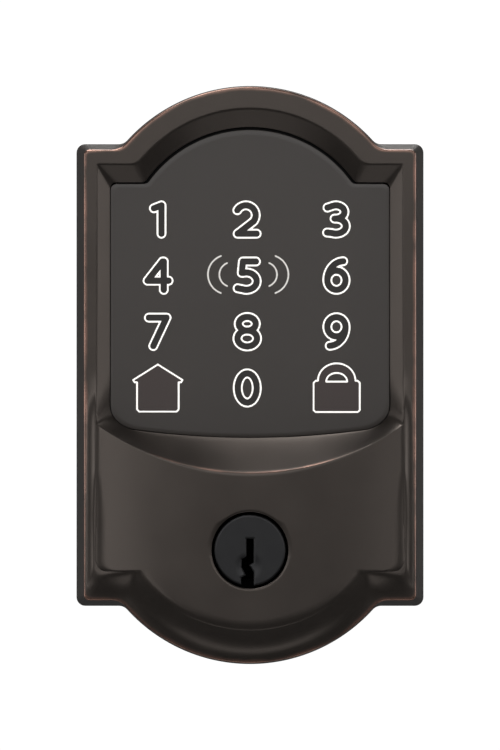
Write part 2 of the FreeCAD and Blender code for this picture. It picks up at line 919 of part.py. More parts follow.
node("cylinder_plug", cylinder_plug())
pin_lengths = [f"({SHORTEST_PIN} + {BITTING_STEP} * {depth})" for depth in BITTING]
node(
    "key_pins",
    group(
        *[
            post("pin_radius", (f"pin_top - {length}", "pin_top"), y=row)
            for row, length in zip(PIN_ROWS, pin_lengths)
        ]
    ),
)
node(
    "driver_pins",
    group(*[post("pin_radius", ("driver_low", "driver_low + driver_tall"), y=row) for row in PIN_ROWS]),
)
node(
    "chamber_cap",
    box(
        span("cap_half"),
        ("-shell_front + skin / 2 + turn_gap", "shell_rear - skin / 2 - turn_gap"),
        ("tower_top - cap_thick", "tower_top"),
    ),
)


def coil_spring(radius, wire, length, turns):
    """Helical wire spring standing on the XY plane, its wire's ends left square."""
    helix = Part.makeHelix(length / turns, length, radius)
    start = helix.Edges[0].Vertexes[0].Point
    rise = length / turns / (2 * math.pi * radius)
    section = Part.Wire(Part.makeCircle(wire, start, vector(0, 1, rise)))
    return Part.Wire(helix.Edges).makePipeShell([section], True, True)


def pin_springs():
    wire = number("spring_wire")
    low = number("driver_low + driver_tall") + wire
    high = number("tower_top - cap_thick") - wire
    spring = coil_spring(number("pin_radius") - wire, wire, high - low, 6)
    copies = []
    for row in PIN_ROWS:
        copy = spring.copy()
        copy.translate(vector(0, number(row), low))
        copies.append(copy)
    thing = doc.addObject("Part::Feature", "pin_springs")
    thing.Shape = Part.makeCompound(copies)
    return thing


node("pin_springs", pin_springs())
clip_span = (CLIP_START, CLIP_END)
node(
    "plug_clip",
    cut(
        rod("clip_radius", clip_span),
        rod("groove_radius + turn_gap", clip_span),
        box(span("groove_radius - skin"), clip_span, ("-clip_radius", "0")),
    ),
)


def sector(inner, outer, y, centre_angle, sweep):
    """Part of a ring, its middle at an angle turned from +Z towards +X."""
    thing = doc.addObject("Part::Cylinder", "sector")
    bind(thing, Radius=outer, Height=f"({y[1]}) - ({y[0]})", Angle=sweep)
    turn = FreeCAD.Rotation(vector(0, 1, 0), number(f"({centre_angle}) - ({sweep}) / 2") - 90)
    flip = FreeCAD.Rotation(vector(1, 0, 0), 90)
    thing.Placement = FreeCAD.Placement(vector(), turn.multiply(flip))
    place(thing, "0", y[1], "0")
    return cut(thing, rod(inner, y))


def drive_cam():
    disc = rod("cam_radius", ("plug_rear + turn_gap", "plug_rear + cam_thick"))
    dog_start = "plug_rear + cam_thick"
    dog = sector("dog_inner", "dog_outer", (dog_start, f"{dog_start} + dog_long"), "dog_rest", "dog_sweep")
    across = span("drive_square / 2 + thread_gap")
    hole = box(across, ("plug_rear", dog_start), across)
    return cut(join(disc, dog), hole)


node("drive_cam", drive_cam())


def tailpiece():
    hub_span = ("tail_start", "tail_start + dog_long")
    hub = rod("tail_hub", hub_span)
    arm = sector("tail_hub / 2", "arm_outer", hub_span, "0", "dog_sweep")
    blade = box(span("blade_thick / 2"), ("tail_start", TAIL_END), span("blade_half"))
    round_blade = common(blade, rod("blade_half", ("tail_start", TAIL_END)))
    return join(hub, arm, round_blade)


node("tailpiece", tailpiece())


def tail_guard():
    """Cup pressed over the housing's end, notched for the pin tower; it keeps the tailpiece in."""
    cup = turned(
        "guard_cup",
        [
            ("shell_radius + thread_gap", "shell_rear - guard_grip"),
            ("shell_radius + guard_wall", "shell_rear - guard_grip"),
            ("shell_radius + guard_wall", "guard_end + guard_wall"),
            ("guard_hole", "guard_end + guard_wall"),
            ("guard_hole", "guard_end"),
            ("shell_radius + thread_gap", "guard_end"),
        ],
    )
    notch = box(span("tower_half + turn_gap"), ("0", "shell_rear + turn_gap"), ("0", "tower_top"))
    return cut(cup, notch)


node("tail_guard", tail_guard())

# Inside assembly: mounting plate and through bolts

FIXINGS = [(f"{side}fix_x", up) for side in signs() for up in ("fix_low", "fix_high")]


def mounting_plate():
    y = (DOOR_INSIDE, BASE_BACK)
    return cut(
        arched("mount_inset", y),
        rod("tail_way", y),
        rod("grommet_neck", y, "cable_x", "cable_z"),
        *[rod("bolt_bore + slide_gap", y, f"{side}bolt_x") for side in signs()],
        *[rod("plate_screw + thread_gap", y, x, z) for x, z in FIXINGS],
    )


node("mounting_plate", mounting_plate())
node(
    "through_bolts",
    group(
        *[
            cap_screw(
                "bolt_head",
                "bolt_head_deep",
                "bolt_radius",
                BASE_BACK,
                "bolt_tip",
                f"{side}bolt_x",
                "0",
                "bolt_head_deep",
            )
            for side in signs()
        ]
    ),
)

# Inside housing: base, lower case, rails and standoffs

BOARD_SCREWS = [
    (f"{side}main_screw_x", up)
    for side in signs()
    for up in ("main_low + main_screw_in", "main_high - main_screw_in")
]
BOARD_SEAT = f"({BASE_FRONT} + main_lift)"
below_split = (span("plate_wide"), ("0", CASE_FRONT), ("-plate_tall", "case_split"))


def rails():
    """Two L-section rails that the battery cover's hooks run behind."""
    made = []
    length = ("rail_low", "rail_high")
    lip_back = f"{BASE_FRONT} + hook_thick + 2 * hook_gap"
    for side in signs():
        web_x = span("rail_thick / 2", f"{side}(rail_x + rail_thick / 2)")
        lip_x = span("rail_lip / 2", f"{side}(rail_x + rail_lip / 2)")
        made.append(box(web_x, (BASE_FRONT, lip_back), length))
        made.append(box(lip_x, (lip_back, f"{lip_back} + rail_thick"), length))
    return made


def inside_housing():
    base = arched("case_inset", (BASE_BACK, BASE_FRONT))
    lower = common(arched("case_inset", (BASE_BACK, CASE_FRONT)), box(*below_split))
    room = common(
        arched("case_inset + case_wall", (BASE_FRONT, f"{CASE_FRONT} - case_wall")),
        box(span("plate_wide"), ("0", CASE_FRONT), ("-plate_tall", "case_split - case_wall")),
    )
    standoffs = [rod("standoff", (BASE_FRONT, BOARD_SEAT), x, z) for x, z in BOARD_SCREWS]
    shell = join(cut(lower, room), base, *rails(), *standoffs)
    beyond = (f"{BASE_BACK} - 1", f"{BASE_FRONT} + 1")
    holes = [
        rod("gear_hub + turn_gap", beyond),
        rod("turn_shaft + turn_gap", (f"{CASE_FRONT} - case_wall - 1", f"{CASE_FRONT} + 1")),
        rod("grommet_neck", beyond, "cable_x", "cable_z"),
    ]
    holes += [rod("bolt_head + head_room", beyond, f"{side}bolt_x") for side in signs()]
    holes += [rod("plate_screw + slide_gap", beyond, x, z) for x, z in FIXINGS]
    through = (BASE_BACK, f"{BOARD_SEAT} + 1")
    holes += [rod("small_screw + thread_gap", through, x, z) for x, z in BOARD_SCREWS]
    holes += [rod("small_screw + thread_gap", beyond, x, z) for x, z in STRAP_SCREWS]
    return cut(shell, *holes)


# Motor, gears and thumb turn

MOTOR_UP = "((gear_teeth + pinion_teeth) * gear_module / 2 + gear_play)"
MOTOR_START = "(door_thick + motor_front)"
STRAP_SCREWS = [
    (f"{side}(motor_half + strap_gap + strap_thick + strap_foot / 2)", "strap_low + strap_foot")
    for side in signs()
]

node("inside_housing", inside_housing())
node(
    "housing_screws",
    group(
        *[
            cap_screw(
                "fix_head",
                "fix_head_deep",
                "plate_screw",
                BASE_FRONT,
                f"{DOOR_INSIDE} + slide_gap",
                x,
                z,
                "fix_head_deep",
            )
            for x, z in FIXINGS
        ]
    ),
)


def gear_face(teeth, phase):
    """Involute gear outline of straight facets, the first tooth's middle at the phase angle."""
    module = number("gear_module")
    pressure = math.radians(25)
    pitch = teeth * module / 2
    base = pitch * math.cos(pressure)
    tip = pitch + module
    root = pitch - 1.2 * module
    rest = math.tan(pressure) - pressure
    half_tooth = math.pi / (2 * teeth) - 0.02 / pitch
    start = max(root, base)
    flank = []
    steps = 6
    for step in range(steps + 1):
        radius = start + (tip - start) * step / steps
        slope = math.acos(min(1.0, base / radius))
        flank.append((radius, half_tooth + rest - (math.tan(slope) - slope)))
    if root < base:
        flank.insert(0, (root, flank[0][1]))
    corners = []
    for tooth in range(teeth):
        middle = phase + 2 * math.pi * tooth / teeth
        for radius, half in flank:
            corners.append((radius, middle - half))
        for radius, half in reversed(flank):
            corners.append((radius, middle + half))
    points = [vector(radius * math.cos(angle), 0, radius * math.sin(angle)) for radius, angle in corners]
    return Part.Face(Part.makePolygon(points + points[:1]))


def gear_blank(name, teeth, phase, x, z, y):
    thing = doc.addObject("Part::Feature", name)
    thing.Shape = gear_face(teeth, phase).extrude(vector(0, number(f"({y[1]}) - ({y[0]})"), 0))
    return place(thing, x, y[0], z)


def output_gear():
    """Large gear on a hub that turns in the base and takes the tailpiece's blade."""
    blank = gear_blank("gear_blank", SIZES["gear_teeth"], math.pi / 2, "0", "0", GEAR_SPAN)
    hub_span = (f"{BASE_BACK} + slide_gap", HUB_END)
    beyond = (f"{BASE_BACK} - 1", f"{GEAR_SPAN[1]} + skin")
    slot = box(span("blade_thick / 2 + blade_gap"), beyond, span("blade_half + blade_gap"))
    return cut(join(blank, rod("gear_hub", hub_span)), slot)


node("output_gear", output_gear())
shaft_hole = ("motor_shaft + thread_gap", GEAR_SPAN, "0", MOTOR_UP)
pinion_phase = math.pi / 2 + math.pi / SIZES["pinion_teeth"]
pinion_blank = gear_blank("pinion_blank", SIZES["pinion_teeth"], pinion_phase, "0", MOTOR_UP, GEAR_SPAN)
node("motor_pinion", cut(pinion_blank, rod(*shaft_hole)))
node("motor_shaft", rod("motor_shaft", (GEAR_SPAN[0], f"{MOTOR_START} + shaft_reach"), "0", MOTOR_UP))


def gear_motor():
    """Flat gearbox and a round-sided motor can on one axis."""
    z = span("motor_tall / 2", MOTOR_UP)
    gearbox = box(span("motor_half"), (MOTOR_START, f"{MOTOR_START} + gearbox_long"), z)
    can_span = (f"{MOTOR_START} + gearbox_long", f"{MOTOR_START} + motor_long")
    can = common(rod("motor_half", can_span, "0", MOTOR_UP), box(span("motor_half"), can_span, z))
    bore_span = (f"{MOTOR_START} - 1", f"{MOTOR_START} + shaft_reach + slide_gap")
    hole = rod("motor_shaft + turn_gap", bore_span, "0", MOTOR_UP)
    return cut(join(gearbox, can), hole)


node("gear_motor", gear_motor())


def motor_bracket():
    """Strap over the gearbox, with a foot on each side of the pinion."""
    inner = "(motor_half + strap_gap)"
    outer = "(motor_half + strap_gap + strap_thick)"
    roof = f"({MOTOR_UP} + motor_tall / 2 + strap_gap)"
    y = (BASE_FRONT, f"{MOTOR_START} + strap_long")
    z = ("strap_low", f"{roof} + strap_thick")
    legs = []
    for side in signs():
        wall_x = span("strap_thick / 2", f"{side}({inner} + strap_thick / 2)")
        foot_x = span("strap_foot / 2", f"{side}({outer} + strap_foot / 2)")
        legs.append(box(wall_x, y, z))
        legs.append(box(foot_x, (BASE_FRONT, f"{BASE_FRONT} + strap_thick"), z))
    bridge = box(span(inner), (MOTOR_START, f"{MOTOR_START} + strap_long"), (roof, f"{roof} + strap_thick"))
    holes = [rod("small_screw + thread_gap", y, x, z) for x, z in STRAP_SCREWS]
    return cut(join(bridge, *legs), *holes)


node("motor_bracket", motor_bracket())
node(
    "bracket_screws",
    group(
        *[
            cap_screw(
                "small_head",
                "small_head_deep",
                "small_screw",
                f"{BASE_FRONT} + strap_thick",
                f"{BASE_BACK} + slide_gap",
                x,
                z,
                "small_head_deep",
            )
            for x, z in STRAP_SCREWS
        ]
    ),
)
RING_END = f"{CASE_FRONT} - case_wall - clip_gap"
RING_START = f"{RING_END} - clip_thick"


def thumbturn():
    """Shaft, disc and paddle; the shaft takes the end of the tailpiece's blade."""
    shaft = rod("turn_shaft", (TURN_START, f"{CASE_FRONT} + turn_gap_out"))
    disc_span = (f"{CASE_FRONT} + turn_gap_out", f"{CASE_FRONT} + turn_gap_out + turn_disc_thick")
    disc = cone(("turn_disc", "turn_disc - turn_disc_thick / 2"), disc_span)
    paddle_span = (disc_span[1], f"{disc_span[1]} + paddle_deep")
    paddle = taper(
        paddle_span,
        (span("paddle_half + 1"), span("paddle_reach - 2")),
        (span("paddle_half - 1"), span("paddle_reach")),
    )
    groove = cut(
        rod("turn_shaft + 1", (f"{RING_START} - clip_gap / 2", f"{RING_END} + clip_gap / 2")),
        rod("turn_shaft - ring_depth", (f"{RING_START} - clip_gap", f"{RING_END} + clip_gap")),
    )
    slot_span = (f"{TURN_START} - 1", f"{TAIL_END} + slot_room")
    slot = box(span("blade_thick / 2 + blade_gap"), slot_span, span("blade_half + blade_gap"))
    return cut(join(shaft, disc, paddle), groove, slot)


node("thumbturn", thumbturn())
ring_span = (RING_START, RING_END)
node(
    "thumbturn_clip",
    cut(
        rod("ring_radius", ring_span),
        rod("turn_shaft - ring_depth + turn_gap", ring_span),
        box(span("turn_shaft - skin"), ring_span, ("-ring_radius", "0")),
    ),
)

# Inside board, switch and batteries

main_span = (BOARD_SEAT, f"{BOARD_SEAT} + main_thick")
MAIN_FRONT = main_span[1]
node(
    "inside_board",
    cut(
        join(
            box(span("main_half"), main_span, ("main_low", "main_high")),
            box(span("tab_half"), main_span, ("main_high - 1", "tab_high")),
        ),
        *[rod("small_screw + slide_gap", main_span, x, z) for x, z in BOARD_SCREWS],
    ),
)
node(
    "board_screws",
    group(
        *[
            cap_screw(
                "small_head",
                "small_head_deep",
                "small_screw",
                MAIN_FRONT,
                f"{BASE_BACK} + slide_gap",
                x,
                z,
                "small_head_deep",
            )
            for x, z in BOARD_SCREWS
        ]
    ),
)


# Each chip of the inside board: how far across, how far up from the board's foot, half width, half height
CHIPS = {
    "processor": ("-main_chip_x", "main_low + 34", "8", "8"),
    "radio": ("main_chip_x", "main_low + 36", "6", "5"),
    "motor_driver": ("main_chip_x", "main_low + 18", "5", "4"),
    "regulator": ("-main_chip_x", "main_low + 16", "4", "6"),
}


def board_chips():
    """Processor, radio, motor driver and regulator on the inside board."""
    y = (MAIN_FRONT, f"{MAIN_FRONT} + chip_thick")
    return group(*[box(span(wide, x), y, span(tall, z)) for x, z, wide, tall in CHIPS.values()])


node("board_chips", board_chips())
node(
    "inside_connector",
    cut(
        box(
            span("plug_half"),
            (MAIN_FRONT, f"{MAIN_FRONT} + plug_deep"),
            ("main_low", "main_low + plug_tall"),
        ),
        box(
            span("plug_half - carrier_skin"),
            (f"{MAIN_FRONT} + carrier_skin / 2", f"{MAIN_FRONT} + plug_deep - carrier_skin / 2"),
            ("main_low - 1", "main_low + plug_tall - carrier_skin"),
        ),
    ),
)
SWITCH_FRONT = f"({MAIN_FRONT} + switch_tall)"
node(
    "setup_switch",
    cut(
        box(span("switch_half"), (MAIN_FRONT, SWITCH_FRONT), span("switch_half", "button_z")),
        rod("button_radius + turn_gap", (f"{MAIN_FRONT} + switch_tall / 3", SWITCH_FRONT), "0", "button_z"),
    ),
)
stem_start = f"{SWITCH_FRONT} - button_travel - turn_gap"
cap_start = f"{SWITCH_FRONT} + button_travel + turn_gap"
node(
    "setup_button",
    turned(
        "setup_button",
        [
            ("0", stem_start),
            ("button_radius", stem_start),
            ("button_radius", cap_start),
            ("button_cap", cap_start),
            ("button_cap", f"{cap_start} + button_cap_thick"),
            ("0", f"{cap_start} + button_cap_thick"),
        ],
        z="button_z",
    ),
)

BAY_LOW = "(tray_low + tray_wall)"
BAY_HIGH = "(tray_low + tray_wall + 2 * strip_thick + cell_long + spring_room)"
CELL_ROWS = ["-1.5", "-0.5", "0.5", "1.5"]


def battery_tray():
    y = (TRAY_BACK, f"{TRAY_BACK} + tray_deep")
    outer = box(span("tray_half"), y, ("tray_low", f"{BAY_HIGH} + tray_wall"))
    bay_span = (f"{TRAY_BACK} + tray_wall", f"{TRAY_BACK} + tray_deep + 1")
    bay = box(span("tray_half - tray_wall"), bay_span, (BAY_LOW, BAY_HIGH))
    legs = []
    for side in signs():
        for up in ("tray_low + tray_leg", f"{BAY_HIGH} - tray_leg"):
            legs.append(rod("tray_leg", (BASE_FRONT, TRAY_BACK), f"{side}tray_leg_x", up))
    return join(cut(outer, bay), *legs)


node("battery_tray", battery_tray())


def cell(row, flipped):
    """Penlight cell with its nub, one way up or the other."""
    x = f"{row} * cell_pitch"
    low = f"({BAY_LOW} + strip_thick)" if flipped else f"({BAY_LOW} + strip_thick + spring_room)"
    high = f"({low} + cell_long)"
    can = (f"{low} + nub_long", high) if flipped else (low, f"{high} - nub_long")
    return join(post("cell_radius", can, x, CELL_MID), post("nub_radius", (low, high), x, CELL_MID))


for index, row in enumerate(CELL_ROWS):
    node(f"battery_{index + 1}", cell(row, index % 2 == 1))


def battery_springs():
    wire = number("spring_wire")
    room = number("spring_room") - 2 * wire
    spring = coil_spring(number("nub_radius"), wire, room, 2)
    copies = []
    for index, row in enumerate(CELL_ROWS):
        low = f"{BAY_HIGH} - strip_thick - spring_room" if index % 2 else f"{BAY_LOW} + strip_thick"
        copy = spring.copy()
        copy.translate(vector(number(f"{row} * cell_pitch"), number(CELL_MID), number(low) + wire))
        copies.append(copy)
    thing = doc.addObject("Part::Feature", "battery_springs")
    thing.Shape = Part.makeCompound(copies)
    return thing


node("battery_springs", battery_springs())


def battery_contacts():
    """Flat strips at both ends of the cells."""
    y = span("strip_half", CELL_MID)
    strips = []
    for row in CELL_ROWS:
        x = span("strip_half", f"{row} * cell_pitch")
        strips.append(box(x, y, (BAY_LOW, f"{BAY_LOW} + strip_thick")))
        strips.append(box(x, y, (f"{BAY_HIGH} - strip_thick", BAY_HIGH)))
    return group(*strips)


node("battery_contacts", battery_contacts())


def inside_cover():
    """Battery cover: open at its foot and its back, with hooks behind the rails."""
    y = (f"{BASE_FRONT} + hook_gap", CASE_FRONT)
    above = box(span("plate_wide"), y, ("case_split + split_gap", "plate_up + plate_tall"))
    outer = common(arched("case_inset", y), above)
    room = common(
        arched("case_inset + case_wall", (f"{BASE_FRONT}", f"{CASE_FRONT} - case_wall")),
        box(span("plate_wide"), (BASE_FRONT, CASE_FRONT), ("0", "plate_up + plate_tall")),
    )
    hooks = []
    inner = "(plate_wide / 2 - case_inset - case_wall)"
    reach = "(plate_wide / 2 - case_inset - case_wall - rail_x - rail_thick - hook_gap)"
    for side in signs():
        hooks.append(
            box(
                span(f"{reach} / 2 + turn_gap", f"{side}({inner} - {reach} / 2 + turn_gap)"),
                (f"{BASE_FRONT} + hook_gap", f"{BASE_FRONT} + hook_gap + hook_thick"),
                ("rail_low", "rail_high"),
            )
        )
    return join(cut(outer, room), *hooks)


node("inside_cover", inside_cover())

# Check everything, then write one file for each sub-part

doc.recompute()
for thing in doc.Objects:
    faults = {"Invalid", "Error"} & set(thing.State)
    if faults:
        raise RuntimeError(f"{thing.Label} ({thing.TypeId}) is {faults}")
for label, thing in nodes.items():
    if thing.Shape.isNull() or not thing.Shape.isValid():
        raise RuntimeError(f"{label} has no valid shape")
    if thing.Label != label:
        raise RuntimeError(f"{label} is named {thing.Label}")

os.makedirs("parts", exist_ok=True)
for label, thing in nodes.items():
    thing.Shape.exportStep(os.path.join("parts", f"{label}.step"))
print(len(nodes), "sub-parts written")
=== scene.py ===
# %% [markdown]
# # A keypad smart lock, clamped through a door
#
# The casting faces -Y, the keypad window sits in its upper half and the key cylinder in its
# raised cushion below. Behind the door are the motor, the gears, the thumb turn and the batteries.
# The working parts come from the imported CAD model, already in place. This lesson makes the
# surfaces that a hand and an eye meet, and gives every part its finish.

import json

import bmesh
import bpy
import numpy as np
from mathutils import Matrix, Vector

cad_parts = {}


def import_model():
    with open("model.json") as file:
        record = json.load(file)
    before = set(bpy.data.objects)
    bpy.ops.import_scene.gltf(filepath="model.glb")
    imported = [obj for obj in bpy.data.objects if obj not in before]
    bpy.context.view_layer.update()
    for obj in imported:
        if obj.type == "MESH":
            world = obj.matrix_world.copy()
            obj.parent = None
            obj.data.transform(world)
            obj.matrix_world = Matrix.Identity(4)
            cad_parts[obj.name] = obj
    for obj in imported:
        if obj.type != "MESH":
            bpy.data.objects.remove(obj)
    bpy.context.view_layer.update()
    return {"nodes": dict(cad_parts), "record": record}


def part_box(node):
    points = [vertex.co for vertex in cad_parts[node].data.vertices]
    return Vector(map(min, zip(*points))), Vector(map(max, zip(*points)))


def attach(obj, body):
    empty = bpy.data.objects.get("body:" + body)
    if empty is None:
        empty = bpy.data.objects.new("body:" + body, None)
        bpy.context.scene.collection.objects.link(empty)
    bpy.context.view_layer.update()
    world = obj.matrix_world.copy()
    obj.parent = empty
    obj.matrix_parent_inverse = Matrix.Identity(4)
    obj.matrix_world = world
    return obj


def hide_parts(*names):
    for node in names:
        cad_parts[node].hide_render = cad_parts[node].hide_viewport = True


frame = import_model()

MM = 0.001
casting_low, casting_high = (np.array(corner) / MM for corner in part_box("escutcheon"))
PLATE_UP = (casting_low[2] + casting_high[2]) / 2
print("nodes", len(frame["nodes"]), "plate centre", round(PLATE_UP, 2), "mm above the cylinder's axis")

# %% [markdown]
# ## Camera and light
#
# The lock is seen square on, from far enough that a long lens keeps its sides parallel, with the
# camera level with the middle of the plate. Dark metal shows mostly what it reflects, so where a
# lamp ends matters more than its strength. Two panels in front serve the flat faces: one high
# above the camera's line and one level with the brow of the plate. On each side a strip picks out
# the crown of the cushion, a faint fill follows it, and a wing beside the plate lights the recess's
# sloping sides. A panel overhead ends in line with the middle, so that the scoop under the window
# is half bright and half dark, and a strip below lifts the lowest slopes. The rest light the
# inside half, from behind the door. The world is white to the camera and dim to everything else,
# which keeps the plate's drafted sides dark.

# %% Camera and lamps
scene = bpy.context.scene
CAMERA_AWAY = 2500 * MM
FRAME_TALL = 164.25 * MM
SCALE_PLANE = 8 * MM
SENSOR = 36.0


def camera():
    """Long lens, level with the middle of the plate; its length frames a plane near the plate's face."""
    data = bpy.data.cameras.new("camera")
    data.sensor_width = SENSOR
    data.lens = SENSOR * (CAMERA_AWAY - SCALE_PLANE) / FRAME_TALL
    eye = bpy.data.objects.new("camera", data)
    eye.location = (0, -CAMERA_AWAY, PLATE_UP * MM)
    eye.rotation_euler = (np.pi / 2, 0, 0)
    scene.collection.objects.link(eye)
    scene.camera = eye


def lamp(name, place, target, size, watts):
    """Square soft lamp at a place, turned to look at a target."""
    data = bpy.data.lights.new(name, "AREA")
    data.shape = "RECTANGLE"
    data.size, data.size_y = size
    data.energy = watts
    made = bpy.data.objects.new(name, data)
    made.location = place
    direction = Vector(target) - Vector(place)
    made.rotation_euler = direction.to_track_quat("-Z", "Y").to_euler()
    scene.collection.objects.link(made)


def world():
    """White where the camera sees past the lock, and softer as a source of light."""
    made = bpy.data.worlds.new("studio")
    made.use_nodes = True
    nodes, links = made.node_tree.nodes, made.node_tree.links
    ray = nodes.new("ShaderNodeLightPath")
    strength = nodes.new("ShaderNodeMapRange")
    strength.inputs["To Min"].default_value = ROOM_LIGHT
    strength.inputs["To Max"].default_value = PAPER_WHITE
    links.new(ray.outputs["Is Camera Ray"], strength.inputs["Value"])
    links.new(strength.outputs["Result"], nodes["Background"].inputs["Strength"])
    nodes["Background"].inputs["Color"].default_value = (1, 1, 1, 1)
    scene.world = made


ROOM_LIGHT = 0.07
PAPER_WHITE = 1.05
scene.view_settings.view_transform = "Standard"
centre = (0, 0, PLATE_UP * MM)
inside_centre = (0, 60 * MM, PLATE_UP * MM)
camera()
world()
lamp("front panel", (0, -2.7, 0.75), centre, (1.8, 1.3), 7)
lamp("brow panel", (0, -0.95, PLATE_UP * MM + 0.36), (0, 0, PLATE_UP * MM + 0.36), (1.1, 0.5), 1.4)
lamp("left strip", (-0.8, -1.3, 0.15), centre, (0.25, 1.0), 2.0)
lamp("right strip", (0.85, -1.3, 0.15), centre, (0.2, 1.0), 1.2)
lamp("left wing", (-1.2, 0.05, 0.1), centre, (0.8, 1.0), 5.0)
lamp("right wing", (1.2, 0.05, 0.1), centre, (0.8, 1.0), 5.0)
lamp("left fill", (-1.02, -0.8, 0.1), centre, (0.6, 1.0), 0.4)
lamp("right fill", (1.02, -0.8, 0.1), centre, (0.6, 1.0), 0.3)
lamp("overhead panel", (-0.23, -0.1, 0.9), (-0.23, -0.09, 0), (0.42, 0.9), 7)
lamp("overhead strip", (0.6, -0.1, 0.9), (0.6, -0.09, 0), (0.36, 0.9), 1.5)
lamp("low strip", (0, -0.35, -0.85), centre, (1.0, 0.25), 0.7)
lamp("inside panel", (0, 0.8, 1.1), inside_centre, (1.2, 0.4), 8)
lamp("inside front", (0.2, 1.5, 1.15), inside_centre, (0.5, 0.4), 3)
lamp("inside left", (-1.1, 0.75, 0.1), inside_centre, (0.3, 0.8), 0.8)
lamp("inside right", (1.1, 0.75, 0.1), inside_centre, (0.3, 0.8), 1.5)
print("camera lens", round(scene.camera.data.lens, 1), "mm")

# %% [markdown]
# ## Surfaces from arrays
#
# Every new shape here is a grid of points. Its columns run round an outline, and its rows step
# from one outline to the next. One function turns such grids into a mesh. Grids that share an
# edge are merged where their points meet, and the merged shell's faces are then turned outwards.

# %% Grids to a mesh


def quads(rows, columns, start):
    """Corner numbers of the faces between neighbouring rows, going round in a ring."""
    row, column = np.meshgrid(np.arange(rows - 1), np.arange(columns), indexing="ij")
    after = (column + 1) % columns
    here, beyond = row * columns, (row + 1) * columns
    corners = (here + column, here + after, beyond + after, beyond + column)
    return start + np.stack(corners, axis=-1).reshape(-1, 4)


def shell(name, grids, worn_and_shaded=None, sharp=32.0):
    """Closed mesh of ring grids (rows, columns, 3) in millimetres, merged where they meet.

    A grid holds x, height in front of the door and z, so y is minus the height."""
    points, faces, wear_and_shade, start = [], [], [], 0
    for index, grid in enumerate(grids):
        rows, columns = grid.shape[:2]
        points.append(grid.reshape(-1, 3))
        faces.append(quads(rows, columns, start))
        wear_and_shade.append(np.zeros(rows * columns) if worn_and_shaded is None else worn_and_shaded[index].ravel())
        start += rows * columns
    points = np.concatenate(points) * (MM, -MM, MM)
    return finished(name, points, np.concatenate(faces), np.concatenate(wear_and_shade), sharp)


def finished(name, points, faces, wear_and_shade=None, sharp=32.0, deep=0.0):
    """Mesh object of points and four-cornered faces, merged, turned outwards and shaded smooth.

    A sheet that faces the front becomes a block of a given depth in millimetres behind it."""
    mesh = bpy.data.meshes.new(name)
    mesh.from_pydata(points.tolist(), [], faces.tolist())
    if wear_and_shade is not None:
        mesh.attributes.new("wear_and_shade", "FLOAT", "POINT").data.foreach_set("value", wear_and_shade.astype(np.float32))
    form = bmesh.new()
    form.from_mesh(mesh)
    bmesh.ops.remove_doubles(form, verts=form.verts, dist=MERGE)
    bmesh.ops.dissolve_degenerate(form, edges=form.edges, dist=MERGE)
    if deep:
        grown = bmesh.ops.extrude_face_region(form, geom=form.faces[:], use_keep_orig=True)
        behind = [part for part in grown["geom"] if isinstance(part, bmesh.types.BMVert)]
        bmesh.ops.translate(form, verts=behind, vec=(0, deep * MM, 0))
    bmesh.ops.recalc_face_normals(form, faces=form.faces)
    open_edges = sum(edge.is_boundary for edge in form.edges)
    form.to_mesh(mesh)
    form.free()
    mesh.shade_smooth()
    mesh.set_sharp_from_angle(angle=np.radians(sharp))
    made = bpy.data.objects.new(name, mesh)
    scene.collection.objects.link(made)
    print(name, len(mesh.polygons), "faces,", open_edges, "open edges")
    return made


MERGE = 0.5e-6

# %% [markdown]
# ## The outline
#
# The plate is a rectangle with an arch over each end. Each quarter runs up the side, round the
# corner, in along the shoulder, through a hollow fillet and over the arch to the top. Every
# outline in the casting is such a quarter with its own sizes, and always the same number of
# points in each stretch, so two outlines can be joined point to point and the mitred creases
# at the corners come by themselves.

# %% Quarters and loops
SIDE_POINTS, CORNER_POINTS, SHOULDER_POINTS, FILLET_POINTS, ARCH_POINTS = 34, 7, 9, 9, 40


def line(start, stop, count):
    """Evenly spaced points from start to stop."""
    share = np.linspace(0, 1, count)[:, None]
    return np.array(start) * (1 - share) + np.array(stop) * share


def arc(middle, radii, start, stop, count):
    """Ellipse arc: the middle, plus each radius times the cosine or sine of the angle in degrees."""
    turn = np.radians(np.linspace(start, stop, count))
    return np.stack([middle[0] + radii[0] * np.cos(turn), middle[1] + radii[1] * np.sin(turn)], axis=1)


def quarter(half, shoulder, arch, rise, corner, fillet, foot):
    """Side, rounded corner, shoulder, hollow fillet and arch, from the foot up to the top."""
    lift = shoulder + fillet - rise
    across = np.sqrt((arch + fillet) ** 2 - lift**2)
    meet = np.degrees(np.arctan2(lift, across))
    parts = [
        line(foot, (half, shoulder - corner), SIDE_POINTS),
        arc((half - corner, shoulder - corner), (corner, corner), 0, 90, CORNER_POINTS),
        line((half - corner, shoulder), (across, shoulder), SHOULDER_POINTS),
        arc((across, shoulder + fillet), (fillet, fillet), 270, 180 + meet, FILLET_POINTS),
        arc((0, rise), (arch, arch), meet, 90, ARCH_POINTS),
    ]
    return np.concatenate([part[1 if index else 0 :] for index, part in enumerate(parts)])


def over(points):
    """The quarter and its mirror image, from the right foot over the top to the left foot."""
    return np.concatenate([points, points[-2::-1] * (-1, 1)])


def under(points):
    """The quarter turned half a turn and its mirror image, from the left foot round to the right."""
    return over(points) * (-1, -1)


def ring(first, second):
    """Closed loop of two chains that meet at both ends."""
    return np.concatenate([first[:-1], second[:-1]])


print("points in a quarter", len(quarter(38.1, 50.7, 36.4, 27.1, 1.9, 2.5, (38.1, 0))))

# %% [markdown]
# ## The casting's three curves
#
# Three outlines organise the casting's face: the rim, the edge where the window's recess and the
# cushion begin, and the window itself. The cushion's upper edge is one long arc, like a smile,
# that runs into the recess's sides. All three share their feet at the ends of that arc.

